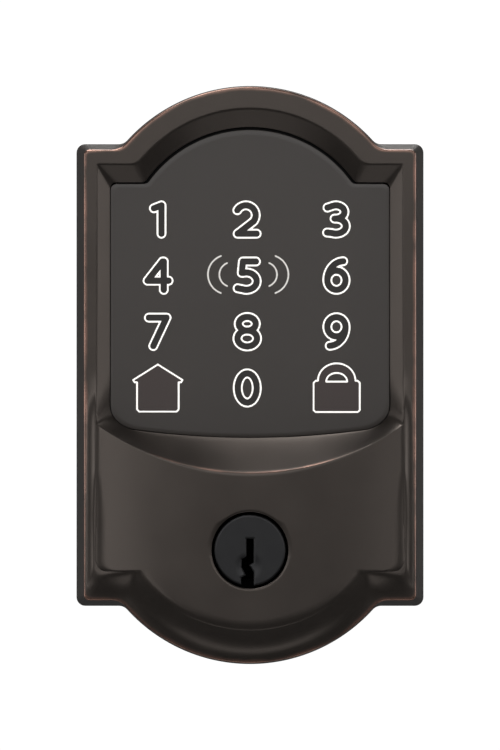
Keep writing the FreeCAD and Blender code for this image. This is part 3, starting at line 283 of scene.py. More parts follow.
# %% Sizes of the casting
HALF_WIDE = (casting_high[0] - casting_low[0]) / 2
HALF_TALL = (casting_high[2] - casting_low[2]) / 2
SHOULDER = 50.7
ARCH = 36.4
ARCH_RISE = HALF_TALL - ARCH
CROWN = -casting_low[1]
CROWN_RADIUS = 117.0
RIM = 14.5
BACK = -casting_high[1]
DRAFT = 1.9
SKIN = 2.2
LEDGE = 5.9
WINDOW = 12.0
SMILE_RADIUS = 58.7
SMILE_LOW = -21.3
JOIN = (33.6, SMILE_LOW + SMILE_RADIUS - np.sqrt(SMILE_RADIUS**2 - 33.6**2))
EYE_RADIUS = 8.4
EYE_UP = -PLATE_UP
SMILE_POINTS = 97
POCKET = (0.15, 0.5)
POCKET_DEEP, OPENING_LEDGE = 2.4, 3.6
CUSHION_WALL = 0.12
# Stored value for painted shade: the finish paints points that carry it near-black.
SHADED = -1.0


def rim_loop(draft, skin=0.0):
    """Plate outline drawn in by the casting's draft, which is least on the arches, and by a skin."""
    half, shoulder, arch = HALF_WIDE - draft - skin, SHOULDER - 0.8 * draft - skin, ARCH - 0.3 * draft - skin
    sizes = (half, shoulder, arch, ARCH_RISE, 1.9 - 0.4 * (draft + skin), 2.5 + draft + skin)
    return ring(over(quarter(*sizes, (half, JOIN[1]))), under(quarter(*sizes, (half, -JOIN[1]))))


recess_edge = over(quarter(33.4, 46.05, 31.1, 27.1, 0.5, 3.0, JOIN))
cushion_edge = under(quarter(33.7, 42.9, 30.8, 24.8, 2.4, 2.0, (JOIN[0], -JOIN[1])))
half_turn = np.degrees(np.arcsin(JOIN[0] / SMILE_RADIUS))
smile_middle, smile_radii = (0, SMILE_LOW + SMILE_RADIUS), (SMILE_RADIUS, SMILE_RADIUS)
smile = arc(smile_middle, smile_radii, 270 - half_turn, 270 + half_turn, SMILE_POINTS)


def window_loop(grow, above=0.0):
    """Keypad window: arched above, with rounded lower corners and a slightly bowed foot.

    The foot's height grows with the square of the distance across, and its corners are ellipses.
    The pocket round the window has a wider gap above the arch."""
    half, drop, bow, corner = 30.5 + grow, 13.6 + grow, 190.0, 5.5 + grow
    side_foot = (half, -7.0)
    shoulder, arch = 41.8 + grow + 0.4 * above, 27.3 + grow + above
    top = over(quarter(half, shoulder, arch, 26.3, 1.3 + grow, 1.5 - grow, side_foot))
    across = np.linspace(-1, 1, SMILE_POINTS)
    x = half * np.sin(across * np.pi / 2) * 0.6 + half * across * 0.4
    bowed = -drop + x**2 / (2 * bow)
    into = np.clip((np.abs(x) - (half - corner)) / corner, 0, 1)
    rounding = (side_foot[1] - (-drop + half**2 / (2 * bow))) * (1 - np.sqrt(1 - into**2))
    return ring(top, np.stack([x, bowed + rounding], axis=1))


print("smile meets the sides at", np.round(JOIN, 2))

# %% [markdown]
# ## The casting
#
# The heights are what make it look cast. The cushion is a slice of a wide cylinder. A hollow cove
# sweeps from the rim up to the cushion, and another from the smile down to the window. Above, the
# recess has plain sloping walls. A raised edge that a hand rubs is rounded over a fraction of a
# millimetre, and there the dark finish wears through to copper, so the grid also stores how worn
# each point is: 1 on the edge, fading with distance. It also stores painted shade: -1 down in the
# gap round the window, where no hand or light reaches, and there the finish paints the bronze
# near-black.

# %% Heights


def ease(value):
    """Smooth step from 0 to 1."""
    held = np.clip(value, 0, 1)
    return held**2 * (3 - 2 * held)


def crown(x):
    """Cushion's height: it falls from the middle with the square of the distance across."""
    return CROWN - x**2 / (2 * CROWN_RADIUS)


def edge_height(points):
    """Rim height round the recess, rising to the cushion's height below the smile's ends."""
    below = ease((JOIN[1] + 11 - points[:, 1]) / 11)
    return RIM + (crown(points[:, 0]) - RIM) * below


def between(outer, inner, share):
    """Rows of points from one loop to another, and their distances along the way."""
    share = share[:, None, None]
    flat = outer * (1 - share) + inner * share
    gap = np.linalg.norm(inner - outer, axis=1)
    return flat, share[..., 0] * gap, (1 - share[..., 0]) * gap


def raised(flat, height):
    """Points of x, height and z, from points round the plate's middle and their heights."""
    return np.stack([flat[..., 0], np.broadcast_to(height, flat.shape[:2]), flat[..., 1] + PLATE_UP], axis=-1)


def rounded(away, reach, drop):
    """How far an edge's rounding lowers the surface: it dies out with the square of what is left."""
    return drop * (1 - np.clip(away / reach, 0, 1)) ** 2


def rub(away, reach):
    """Wear: 1 on the edge, falling like a bell curve with the distance away."""
    return np.exp(-((away / reach) ** 2))


FINE_START = (0, 0.012, 0.03, 0.06, 0.1, 0.16, 0.24, 0.33, 0.43)
FINE_END = (0.54, 0.65, 0.75, 0.83, 0.89, 0.93, 0.96, 0.98, 1)
FINE = np.array(FINE_START + FINE_END)
EDGE_REACH, EDGE_DROP = 0.25, 0.05
LIP_REACH, LIP_DROP = 1.7, 0.42
FOOT_TOP = -22.0
RIM_REACH, RIM_DROP, RIM_RUB = 0.35, 0.2, 0.65
EYE_REACH, EYE_DROP = 0.3, 0.15
COVE_BEND, SCOOP_BEND = 1.9, 1.15
SMILE_RUB, SMILE_WORN, SMILE_WORN_HALF, SMILE_FADE = 0.3, 0.6, 27.5, 14.0


def lip(points):
    """Reach and depth of the rounding: crisp round the recess, a quarter softer from the smile's ends
    down, and softer still round the cushion's foot."""
    foot = ease((JOIN[1] - 4 - points[:, 1]) / 22) * (points[:, 1] < FOOT_TOP)
    soft = np.minimum(foot + 0.25 * (points[:, 1] < JOIN[1] + 3), 1)
    return EDGE_REACH + (LIP_REACH - EDGE_REACH) * soft, EDGE_DROP + (LIP_DROP - EDGE_DROP) * soft


def smile_wear(points, from_edge):
    """Wear along the smile, which fades out towards its ends."""
    fade = ease((SMILE_WORN_HALF - np.abs(points[:, 0])) / SMILE_FADE)
    return SMILE_WORN * rub(from_edge, SMILE_RUB) * fade


def face_edges():
    """The two halves of the edge between the rim's band and what lies inside it."""
    return ring(recess_edge, cushion_edge)


print("cushion falls", round(CROWN - crown(JOIN[0]), 2), "mm from its middle to its edge")

# %% [markdown]
# Each surface is made as rows between two outlines, and gets its heights from the functions above.
# A row near an edge is much closer to its neighbour than one in the middle, so the roundings have
# enough points.

# %% Surfaces of the face


def band():
    """From the rim in to the recess and the cushion: flat above, a cove below.

    The height rises from the rim's to the edge's with a power of the way across."""
    outer, inner = rim_loop(DRAFT), face_edges()
    flat, from_rim, to_edge = between(outer, inner, FINE)
    share = FINE[:, None]
    height = RIM + (edge_height(inner) - RIM) * share**COVE_BEND
    height = height - rounded(from_rim, RIM_REACH, RIM_DROP) - rounded(to_edge, *lip(inner))
    return raised(flat, height), rub(from_rim, RIM_RUB)


def recess():
    """From the recess edge and the smile down to the window: plain slopes, and a scoop below.

    The height falls evenly with the way down, or in the scoop with a power of what is left of it."""
    outer, inner = ring(recess_edge, smile), window_loop(*POCKET)
    flat, from_edge, _ = between(outer, inner, FINE)
    share = FINE[:, None]
    hollow = np.concatenate([np.zeros(len(recess_edge) - 1), np.ones(SMILE_POINTS - 1)])
    hollow = hollow * ease((JOIN[1] + 1 - outer[:, 1]) / 5)
    bend = 1 + (SCOOP_BEND - 1) * hollow
    height = WINDOW + (edge_height(outer) - WINDOW) * (1 - share) ** bend - rounded(from_edge, *lip(outer))
    return raised(flat, height), smile_wear(outer, from_edge) * hollow


def cushion():
    """The crowned face between its edge and the key cylinder's eye: a wide cylinder, eased at both."""
    outer = ring(cushion_edge, smile[::-1])
    turn = np.arctan2(outer[:, 1] - EYE_UP, outer[:, 0])
    inner = np.stack([EYE_RADIUS * np.cos(turn), EYE_UP + EYE_RADIUS * np.sin(turn)], axis=1)
    flat, from_edge, to_eye = between(outer, inner, FINE)
    height = crown(flat[..., 0]) - rounded(from_edge, *lip(outer)) - rounded(to_eye, EYE_REACH, EYE_DROP)
    return raised(flat, height), smile_wear(outer, from_edge) * (outer[:, 1] > FOOT_TOP), inner


# %% [markdown]
# Behind the face the casting is hollow. Its flank leans in with the draft that lets it leave the
# mould, its foot is a thin skin, and steps inside carry the window and the key cylinder. All these
# are rows of loops as well, so the whole casting closes without a gap.

# %% Casting


def rows(pairs):
    """Grid whose rows are loops, each with its height, or with a height for every point."""
    return np.stack([raised(loop[None], level)[0] for loop, level in pairs])


def casting():
    """The face's three surfaces, the drafted flank, and the hollow back with its ledges and walls."""
    front_band, band_wear = band()
    front_recess, recess_wear = recess()
    front_cushion, cushion_wear, eye = cushion()
    levels = np.linspace(RIM - RIM_DROP, BACK, 9)
    insets = DRAFT * (levels - BACK) / (levels[0] - BACK)
    flank = rows([(rim_loop(inset), level) for inset, level in zip(insets, levels)])
    inner_foot = rim_loop(DRAFT, SKIN)
    back = rows([(rim_loop(0), BACK), (rim_loop(0, SKIN), BACK), (inner_foot, LEDGE)])
    ledge = rows([(inner_foot, LEDGE), (face_edges(), LEDGE)])
    opening, pocket_edge = window_loop(-OPENING_LEDGE), window_loop(*POCKET)
    floor_level = WINDOW - POCKET_DEEP
    steps = [(ring(recess_edge, smile), LEDGE), (opening, LEDGE), (opening, floor_level)]
    pocket = rows([*steps, (pocket_edge, floor_level), (pocket_edge, WINDOW)])
    outer = ring(cushion_edge, smile[::-1])
    inset = outer + (eye - outer) * CUSHION_WALL
    ceiling = crown(inset[:, 0]) - 1.5 * SKIN
    under_side = rows([(outer, LEDGE), (inset, LEDGE), (inset, ceiling), (eye, crown(eye[:, 0]) - 2 * SKIN)])
    eye_wall = np.stack([under_side[-1], front_cushion[-1]])
    grids = [front_band, front_recess, front_cushion, flank, back, ledge, pocket, under_side, eye_wall]
    still = [np.zeros(grid.shape[:2]) for grid in grids[3:]]
    still[0][0] = 1.0
    # Painted shade: the pocket's floor rows store -1, and the finish paints them near-black.
    still[3][1:4] = SHADED
    return shell("plate", grids, [band_wear, recess_wear, cushion_wear, *still], sharp=40.0)


plate = casting()
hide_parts("escutcheon")
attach(plate, "lock")

# %% [markdown]
# ## The keypad window
#
# One moulding of dark plastic, with its edge eased so that it catches a thin line of light.
# Its face is flat, so the rows close in on the middle.

# %% Window
WINDOW_BACK = 10.0


def window():
    """From the hidden back out, up the sides, over the eased edge and in to the middle of the face."""
    side, rim, middle = window_loop(0), window_loop(-0.12), np.array([0, 14.0])
    hidden = [(side + (middle - side) * share, WINDOW_BACK) for share in (1, 0.5)]
    edge = [(side, WINDOW_BACK), (side, 11.88), (window_loop(-0.04), 11.97), (rim, WINDOW)]
    face = [(rim + (middle - rim) * share, WINDOW) for share in (0.03, 0.1, 0.3, 0.6, 1)]
    return shell("keypad_window", [rows(hidden + edge + face)], sharp=50.0)


panel = window()
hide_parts("keypad_lens")
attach(panel, "lock")

# %% [markdown]
# ## The printed keys
#
# Each digit is printed as the white outline of a round-ended stroke, like a neon tube seen from
# the front. So a digit is described by the middle of its stroke, and the print is every point
# whose distance from it is close to the stroke's half width. On a fine grid that distance is one
# array, and the cells near the right distance are kept. Their outer corners are then slid along
# the distance's slope until they lie exactly on the edge of the line, so it comes out smooth.

# %% Distance to a stroke
STROKE = 0.88
LINE = 0.19
WAVE_LINE = 0.19
CELL = 0.11
ANY = -99.0


def distance(spots, paths):
    """Shortest distance from each spot to any straight piece of the paths."""
    best = np.full(spots.shape[:-1], np.inf)
    for path in paths:
        for start, stop in zip(path[:-1], path[1:]):
            run = stop - start
            along = np.clip(((spots - start) @ run) / max(run @ run, 1e-9), 0, 1)
            best = np.minimum(best, np.linalg.norm(spots - start - along[..., None] * run, axis=-1))
    return best


def inside(spots, path):
    """True where a spot lies within a closed path: a ray to the right crosses it an odd number of times."""
    odd = np.zeros(spots.shape[:-1], bool)
    for (x0, z0), (x1, z1) in zip(path[:-1], path[1:]):
        if z0 != z1:
            cross = x0 + (spots[..., 1] - z0) * (x1 - x0) / (z1 - z0)
            odd ^= ((z0 > spots[..., 1]) != (z1 > spots[..., 1])) & (spots[..., 0] < cross)
    return odd


def sheet(field, low, high, middle, half, height, cell=CELL):
    """Faces where a field lies between two values, with their edge corners slid onto those values.

    The height in front of the door is one number, or a function of the spots from the middle."""
    across, up = (np.arange(-size, size + cell, cell) for size in half)
    spots = np.stack(np.meshgrid(across, up, indexing="ij"), axis=-1)
    value = field(spots)
    slope = np.stack(np.gradient(value, cell, cell), axis=-1)
    slope = slope / np.maximum(np.linalg.norm(slope, axis=-1, keepdims=True), 1e-6)
    spots = spots - (value - np.clip(value, low, high))[..., None] * slope
    near = (value > low - 0.7 * cell) & (value < high + 0.7 * cell)
    whole = near[:-1, :-1] & near[1:, :-1] & near[1:, 1:] & near[:-1, 1:]
    number = np.arange(value.size).reshape(value.shape)
    faces = np.stack([number[:-1, :-1], number[1:, :-1], number[1:, 1:], number[:-1, 1:]], axis=-1)[whole]
    used, faces = np.unique(faces, return_inverse=True)
    spots = spots.reshape(-1, 2)[used]
    heights = height(spots) if callable(height) else np.full(len(spots), height)
    flat = spots + middle
    points = np.stack([flat[:, 0], heights, flat[:, 1] + PLATE_UP], axis=1)
    return points * (MM, -MM, MM), faces.reshape(-1, 4)


def printed(name, sheets, thick):
    """One mesh of several flat sheets, with a little thickness behind them, on the window."""
    points, faces, start = [], [], 0
    for some_points, some_faces in sheets:
        points.append(some_points)
        faces.append(some_faces + start)
        start += len(some_points)
    made = finished(name, np.concatenate(points), np.concatenate(faces), deep=thick)
    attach(made, "lock")
    return made


# %% [markdown]
# The ten digits are drawn on a 4 by 6 millimetre field, each with as few lines and arcs as its
# shape has. The house and the padlock are drawn by their edge, so their stroke has no width.

# %% Digits and signs
STEPS = 26


def chain(*parts):
    """One path of points and runs of points."""
    return np.concatenate([np.atleast_2d(part).astype(float) for part in parts])


DIGITS = {
    "1": [chain((-0.9, 2.45), (0.75, 3.1), (0.75, -3.1))],
    "2": [chain(arc((-0.3, 0.95), (2.15, 2.15), 150, -40, STEPS), (-2.1, -3.1), (2.05, -3.1))],
    "3": [
        chain((-1.95, 2.6), arc((-0.1, 1.65), (1.85, 1.45), 120, -90, STEPS), (-0.4, 0.2)),
        chain((-0.4, 0.2), arc((-0.1, -1.45), (2.15, 1.65), 90, -115, STEPS), (-2.05, -2.85)),
    ],
    "4": [chain((1.25, -3.1), (1.25, 3.1), (1.0, 3.1), (-2.3, -1.1), (2.3, -1.1))],
    "5": [
        chain((1.9, 3.1), (-0.95, 3.1), (-1.2, 0.62)),
        chain((-1.2, 0.62), arc((-0.2, -1.2), (2.27, 1.9), 108, -112, STEPS), (-2.1, -2.75)),
    ],
    "6": [arc((1.6, -0.95), (3.6, 4.1), 92, 180, STEPS), arc((0, -1.0), (2.0, 2.1), 0, 360, STEPS)],
    "7": [chain((-2.0, 3.1), (1.85, 3.1), (-1.05, -3.1))],
    "8": [arc((0, 1.75), (1.87, 1.5), 0, 360, STEPS), arc((0, -1.45), (2.15, 1.75), 0, 360, STEPS)],
    "9": [arc((0, 1.1), (2.0, 2.1), 0, 360, STEPS), arc((-1.6, 1.05), (3.6, 4.1), 0, -88, STEPS)],
    "0": [arc((0, 0), (2.08, 3.2), 0, 360, STEPS)],
}
house = chain((-4.55, -1.6), (-5.1, -1.6), (-5.4, -1.1), (0, 2.3), (5.4, -1.1), (5.1, -1.6), (4.55, -1.6))
house = chain(house, (4.55, -7.5), (4.1, -8.0), (-4.1, -8.0), (-4.55, -7.5), (-4.55, -1.6))
shackle = arc((0, -1.25), (4.1, 3.8), 0, 180, STEPS)
padlock = chain((4.6, -1.25), shackle, (-4.6, -1.25), (-5.05, -1.7), (-5.05, -7.7), (-4.6, -8.1))
padlock = chain(padlock, (4.6, -8.1), (5.05, -7.7), (5.05, -1.7), (4.6, -1.25))
eyelet = chain(arc((0, -1.45), (2.3, 1.9), 0, 180, STEPS), (2.3, -1.45))
print("digits", len(DIGITS), "and points in the padlock", len(padlock))

# %% [markdown]
# The keys stand in a grid of three columns. White ink lies within a line's width of each outline.
# The darker fields lie deeper inside the strokes, just below the ink, and the two signs have
# brownish fields of their own.

# %% Ink
KEYPAD = ("123", "456", "789", " 0 ")
COLUMN, ROW, FIRST_ROW, MIDDLE_X = 19.5, 12.28, 34.0, -0.6
HOUSE_X, PADLOCK_X = -20.15, 18.95


PRINT, PRINT_THICK = WINDOW + 0.03, 0.06
FIELD, FIELD_THICK = WINDOW + 0.015, 0.05
ICON_LIFT = 2.85
KEY_HALF, ICON_HALF, WAVES_HALF = (4.2, 4.9), (6.2, 6.2), (10, 5)


def to_line(paths, lift=0.0):
    """Field: the distance to the paths."""
    return lambda spots: distance(spots - (0, lift), paths)


def into_stroke(paths):
    """Field: the distance to the edge of a stroke, negative inside it."""
    return lambda spots: distance(spots, paths) - STROKE


def to_stroke(paths):
    """Field: the distance to the edge of a stroke, from either side."""
    return lambda spots: np.abs(distance(spots, paths) - STROKE)


def into_shape(outer, holes):
    """Field: the distance to the edge of a closed shape, negative inside it and outside its holes."""

    def field(spots):
        spots = spots - (0, ICON_LIFT)
        within = inside(spots, outer)
        for hole in holes:
            within &= ~inside(spots, hole)
        away = distance(spots, [outer, *holes])
        return np.where(within, -away, away)

    return field


def digit_keys():
    """Each digit's paths and the middle of its key."""
    for row, keys in enumerate(KEYPAD):
        for column, key in enumerate(keys):
            if key in DIGITS:
                yield DIGITS[key], (MIDDLE_X + (column - 1) * COLUMN, FIRST_ROW - row * ROW)


def legends():
    """The white outlines of the digits and the two signs."""
    made = [sheet(to_stroke(paths), ANY, LINE, middle, KEY_HALF, PRINT) for paths, middle in digit_keys()]
    for x, paths in ((HOUSE_X, [house]), (PADLOCK_X, [padlock, eyelet])):
        made.append(sheet(to_line(paths, ICON_LIFT), ANY, LINE, (x, -ICON_LIFT), ICON_HALF, PRINT))
    return made


def key_fields():
    """The darker fields inside the digits' strokes."""
    return [
        sheet(into_stroke(paths), ANY, -0.5 * LINE, middle, KEY_HALF, FIELD) for paths, middle in digit_keys()
    ]


def icon_fields():
    """The coloured fields inside the house and the padlock, half a line in from their edges."""
    signs = ((HOUSE_X, house, []), (PADLOCK_X, padlock, [eyelet]))
    return [
        sheet(into_shape(outer, holes), ANY, -0.5 * LINE, (x, -ICON_LIFT), ICON_HALF, FIELD)
        for x, outer, holes in signs
    ]


WAVES = ((-1, -3.4, 2.7, 68), (-1, -4.3, 4.3, 70), (1, 3.8, 2.7, 68), (1, 4.7, 4.3, 70))


def waves():
    """Two pairs of thin arcs beside the middle key, as from a card reader.

    Each has its side, the place of its middle, its radius and half its angle."""
    made = []
    for side, x, radius, reach in WAVES:
        turn = 90 - 90 * side
        path = arc((x, 0.25), (radius, radius), turn - reach, turn + reach, STEPS)
        made.append(sheet(to_line([path]), ANY, WAVE_LINE, (MIDDLE_X, FIRST_ROW - ROW), WAVES_HALF, PRINT))
    return made


keys_print = printed("key_print", legends(), PRINT_THICK)
digit_fields = printed("key_fields", key_fields(), FIELD_THICK)
icon_print = printed("icon_fields", icon_fields(), FIELD_THICK)
wave_print = printed("reader_waves", waves(), PRINT_THICK)

# %% [markdown]
# ## The key cylinder's plug
#
# Its face is a disc with the keyway's crooked slot through it. The same kind of field serves: a
# point belongs to the face where it is inside the disc and outside the slot. The distance to the
# edge also gives the chamfer, and a shallow cone round the slot leads the key in. The turned
# body behind it is a profile carried round the axis.

# %% Plug
PLUG_RADIUS, PLUG_NOSE_DEEP, PLUG_CELL = 7.8, 5.0, 0.13
plug_low, plug_high = (np.array(corner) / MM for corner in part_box("cylinder_plug"))
clip_low, clip_high = (np.array(corner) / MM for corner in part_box("plug_clip"))
SLOT = chain(
    (0.76, 2.5), (0.76, -2.65), (-0.28, -3.2), (0.15, -3.8), (0.8, -4.85), (0.8, -9), (-1.9, -9),
    (-1.9, -6.05), (-0.87, -5.4), (-1.83, -3.5), (-1.75, -1.95), (-0.76, -1.4), (-0.76, 2.5), (0.76, 2.5),
)


def face_field(spots):
    """Negative on the plug's face: the larger of the distances past its rim and into the slot."""
    away = distance(spots, [SLOT])
    past_rim = np.linalg.norm(spots, axis=-1) - PLUG_RADIUS
    return np.maximum(past_rim, np.where(inside(spots, SLOT), away, -away))


def face_height(spots):
    """Flat face, lowered by a chamfer at its edges and by a shallow dish round the slot's bend."""
    edge = -face_field(spots)
    dish = np.linalg.norm(spots - (-0.3, -3.4), axis=-1) / 3.2
    return -plug_low[1] - rounded(edge, 0.4, 0.3) - 0.35 * (1 - ease(dish))


def plug():
    """The face as a sheet, made into a block as deep as the nose."""
    points, faces = sheet(face_field, ANY, 0, (0, EYE_UP), (8, 8), face_height, PLUG_CELL)
    return finished("plug_nose", points, faces, deep=PLUG_NOSE_DEEP, sharp=45)


def turned(name, profile, turns=96):
    """Rings of a profile of (radius, height in front of the door), closed on the axis at both ends."""
    angle = np.linspace(0, 2 * np.pi, turns, endpoint=False)
    circle = np.stack([np.cos(angle), np.sin(angle)], axis=1)
    return shell(name, [rows([(radius * circle + (0, EYE_UP), level) for radius, level in profile])])


def plug_barrel():
    """Body behind the nose, with the groove for its clip."""
    start, end, radius, groove = -plug_low[1] - 2 * PLUG_NOSE_DEEP, -plug_high[1], 6.35, 5.3
    clip_front, clip_back = -clip_low[1] + 0.05, -clip_high[1] - 0.05
    profile = [(0, start), (radius, start), (radius, clip_front), (groove, clip_front), (groove, clip_back)]
    profile += [(radius, clip_back), (radius, end + 0.3), (radius - 0.3, end), (0, end)]
    return turned("plug_barrel", profile)


plug_nose, barrel = plug(), plug_barrel()
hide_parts("cylinder_plug")
for piece in (plug_nose, barrel):
    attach(piece, "key_plug")
print("plug from", round(plug_low[1], 2), "to", round(plug_high[1], 2), "mm")

# %% [markdown]
# ## Finishes
#
# A finish is a small sum: a colour, plus how it varies, and how rough and how bumpy the surface
# is. Writing it as a Python expression keeps it readable, so one class wraps a socket and turns
# the signs into Math nodes. Another holds a material and adds any other node in one call.

# %% Node arithmetic


class Value:
    """A node's output that can be added, subtracted and multiplied."""

    def __init__(self, finish, socket):
        self.finish = finish
        self.socket = socket

    def sum(self, operation, first, second):
        """One Math node."""
        return self.finish.add("ShaderNodeMath", {"operation": operation}, {0: first, 1: second})

    def __add__(self, other):
        return self.sum("ADD", self, other)

    def __radd__(self, other):
        return self.sum("ADD", other, self)

    def __sub__(self, other):
        return self.sum("SUBTRACT", self, other)

    def __rsub__(self, other):
        return self.sum("SUBTRACT", other, self)

    def __mul__(self, other):
        return self.sum("MULTIPLY", self, other)

    def __rmul__(self, other):
        return self.sum("MULTIPLY", other, self)


class Finish:
    """One material: its nodes, its shader, and the object's own coordinates in millimetres."""

    def __init__(self, name, metallic=0.0, coat=0.0):
        self.material = bpy.data.materials.new(name)
        self.material.use_nodes = True
        self.nodes = self.material.node_tree.nodes
        self.shader = self.nodes["Principled BSDF"]
        self.shader.inputs["Metallic"].default_value = metallic
        self.shader.inputs["Coat Weight"].default_value = coat
        self.shader.inputs["Coat Roughness"].default_value = 0.12
        place = self.add("ShaderNodeTexCoord", out="Object")
        sockets = {"Vector": place, "Scale": 1 / MM}
        self.place = self.add("ShaderNodeVectorMath", {"operation": "SCALE"}, sockets)

    def add(self, kind, settings=None, sockets=None, out=0):
        """A node of any kind: its settings first, then its sockets' values or links."""
        node = self.nodes.new(kind)
        for name, setting in (settings or {}).items():
            setattr(node, name, setting)
        for name, value in (sockets or {}).items():
            self.feed(node.inputs[name], value)
        return Value(self, node.outputs[out])

    def feed(self, socket, value):
        """Link a node's output to a socket, or set a constant on it."""
        if isinstance(value, Value):
            self.material.node_tree.links.new(value.socket, socket)
        else:
            socket.default_value = value

    def noise(self, scale, detail=3.0, place=None, out="Fac"):
        """Cloudy value round 0.5, with a given number of clouds to the millimetre."""
        sockets = {"Vector": place or self.place, "Scale": scale, "Detail": detail}
        return self.add("ShaderNodeTexNoise", {"noise_dimensions": "3D"}, sockets, out)

    def stretched(self, factors):
        """The coordinates scaled by a factor on each axis, for grain that runs one way."""
        return self.add("ShaderNodeVectorMath", {"operation": "MULTIPLY"}, {0: self.place, 1: factors})

    def mix(self, share, first, second):
        """Colour between two colours."""
        settings = {"data_type": "RGBA"}
        sockets = {0: share, 6: colour(first), 7: colour(second)}
        return self.add("ShaderNodeMix", settings, sockets, out=2)

    def ramp(self, value, low, high):
        """0 below low, 1 above high and even between."""
        sockets = {"Value": value, "From Min": low, "From Max": high}
        return self.add("ShaderNodeMapRange", {"clamp": True}, sockets)

    def look(self, shade, rough, bump=None, bump_height=0.02):
        """Feed the shader's base colour and roughness, and a bump whose height is in millimetres."""
        self.feed(self.shader.inputs["Base Color"], colour(shade))
        self.feed(self.shader.inputs["Roughness"], rough)
        if bump is not None:
            sockets = {"Height": bump, "Strength": 1.0, "Distance": bump_height * MM}
            self.feed(self.shader.inputs["Normal"], self.add("ShaderNodeBump", None, sockets, "Normal"))
        return self.material


def colour(shade):
    """A tuple of red, green and blue gets the alpha that a socket wants; a node's output stays."""
    return (*shade, 1.0) if isinstance(shade, tuple) else shade


def paint(thing, material):
    """Give a piece one material in place of any others."""
    thing.data.materials.clear()
    thing.data.materials.append(material)


# %% [markdown]
# ### Aged bronze
#
# The plate is a dark, satin, chemically darkened bronze with a trace of brown cloud in it. On
# the rubbed edges the stored wear, broken up by noise, mixes in a brighter copper, and down in
# the window's gap the stored painted shade turns it near-black. The window is a satin brown
# plastic, and its inks differ only in shade. The white ink also glows a little, painted light
# that makes it read near white.

# %% Bronze and window


def aged_bronze(name, base, copper, rough, worn_and_shaded=True):
    """Dark bronze with a brown cloud in it, worn to copper on edges, and painted shade, near-black, in the
    window's gap.
    """
    finish = Finish(name, metallic=0.85)
    cloud = finish.noise(0.09, 4)
    grain = finish.noise(2.2, 3)
    shade = finish.mix(cloud, tuple(0.86 * part for part in base), tuple(1.16 * part for part in base))
    roughness = rough - 0.06 + 0.12 * cloud + 0.05 * grain
    if worn_and_shaded:
        stored_wear_and_shade = finish.add("ShaderNodeAttribute", {"attribute_name": "wear_and_shade"}, out="Fac")
        patches = finish.ramp(finish.noise(0.14, 4), 0.36, 0.6)
        rubbed = finish.ramp(stored_wear_and_shade * (0.35 + 0.65 * patches), 0.12, 0.95)
        shade = finish.mix(rubbed, shade, copper)
        # Painted shade: where the stored value is below zero, in the window's gap, the colour is painted
        # near-black.
        shade = finish.mix(finish.ramp(0 - stored_wear_and_shade, 0.3, 0.9), shade, (0.002, 0.002, 0.002))
        roughness = roughness - 0.08 * rubbed
    return finish.look(shade, roughness, 0.5 * grain + cloud, 0.006)


BRONZE = (0.072, 0.061, 0.054)
COPPER = (0.31, 0.18, 0.14)
paint(plate, aged_bronze("aged bronze", BRONZE, COPPER, 0.3))


def window_plastic():
    """Satin brown plastic, barely uneven."""
    finish = Finish("smoked window")
    speckle = finish.noise(6.0, 2)
    cloud = finish.noise(0.05, 2)
    shade = finish.mix(cloud, (0.040, 0.034, 0.030), (0.046, 0.039, 0.035))
    return finish.look(shade, 0.3 + 0.08 * cloud, speckle, 0.003)


def print_ink(name, shade, deep, glow=0.0):
    """Screen ink, slightly uneven in cover, with a glow: painted light that brightens the lines."""
    finish = Finish(name)
    finish.shader.inputs["Emission Color"].default_value = colour(shade)
    # Painted light: the glow brightens the ink so that it reads near white.
    finish.shader.inputs["Emission Strength"].default_value = glow
    cover = finish.noise(3.0, 3)
    return finish.look(finish.mix(cover, shade, deep), 0.42 + 0.1 * cover, cover, 0.002)


paint(panel, window_plastic())
# The white and grey inks glow a little: painted light.
paint(keys_print, print_ink("printed white", (0.93, 0.91, 0.87), (0.84, 0.82, 0.78), 0.6))
paint(wave_print, print_ink("printed grey", (0.62, 0.60, 0.57), (0.55, 0.53, 0.5), 0.4))
paint(icon_print, print_ink("printed brown", (0.058, 0.042, 0.039), (0.048, 0.035, 0.032)))
paint(digit_fields, print_ink("printed dark", (0.024, 0.020, 0.018), (0.018, 0.015, 0.013)))


def brass_blackened_and_shaded():
    """Cylinder brass whose front end is black, partly a blackened finish and partly painted shade, as far
    back as the eye lets it be seen.
    """
    finish = Finish("cylinder brass", metallic=1.0)
    deep = finish.add("ShaderNodeSeparateXYZ", None, {0: finish.place}, "Y")
    behind = finish.ramp(deep, -11.0, -9.0)
    turned_lines = finish.noise(3.0, 4, finish.stretched((1, 0.25, 1)))
    brass = finish.mix(finish.noise(0.16, 4), (0.5, 0.34, 0.14), (0.68, 0.47, 0.20))
    # Painted shade in part: in front of y = -11 mm the colour is black, a blackened face and also painted
    # shade for the gap round the plug and the pins seen down the keyway.
    shade = finish.mix(behind, (0.004, 0.004, 0.004), brass)
    return finish.look(shade, 0.55 - 0.3 * behind + 0.12 * turned_lines, turned_lines, 0.004)


def plug_satin():
    """Dark satin face, and painted shade: black inside the keyway, from a little way behind the face."""
    finish = Finish("plug satin", metallic=0.85)
    deep = finish.add("ShaderNodeSeparateXYZ", None, {0: finish.place}, "Y")
    # Painted shade: from 0.75 to 1.6 mm behind the face, inside the keyway, the colour ramps to black.
    within = finish.ramp(deep, plug_low[1] + 0.75, plug_low[1] + 1.6)
    cloud = finish.noise(0.3, 4)
    face = finish.mix(cloud, (0.034, 0.034, 0.036), (0.042, 0.042, 0.043))
    shade = finish.mix(within, face, (0.001, 0.001, 0.001))
    return finish.look(shade, 0.34 + 0.5 * within + 0.05 * cloud, cloud, 0.004)


plug_finish = plug_satin()
# The barrel lies wholly behind the face, so the painted shade makes it black all over.
for piece in (plug_nose, barrel):
    paint(piece, plug_finish)

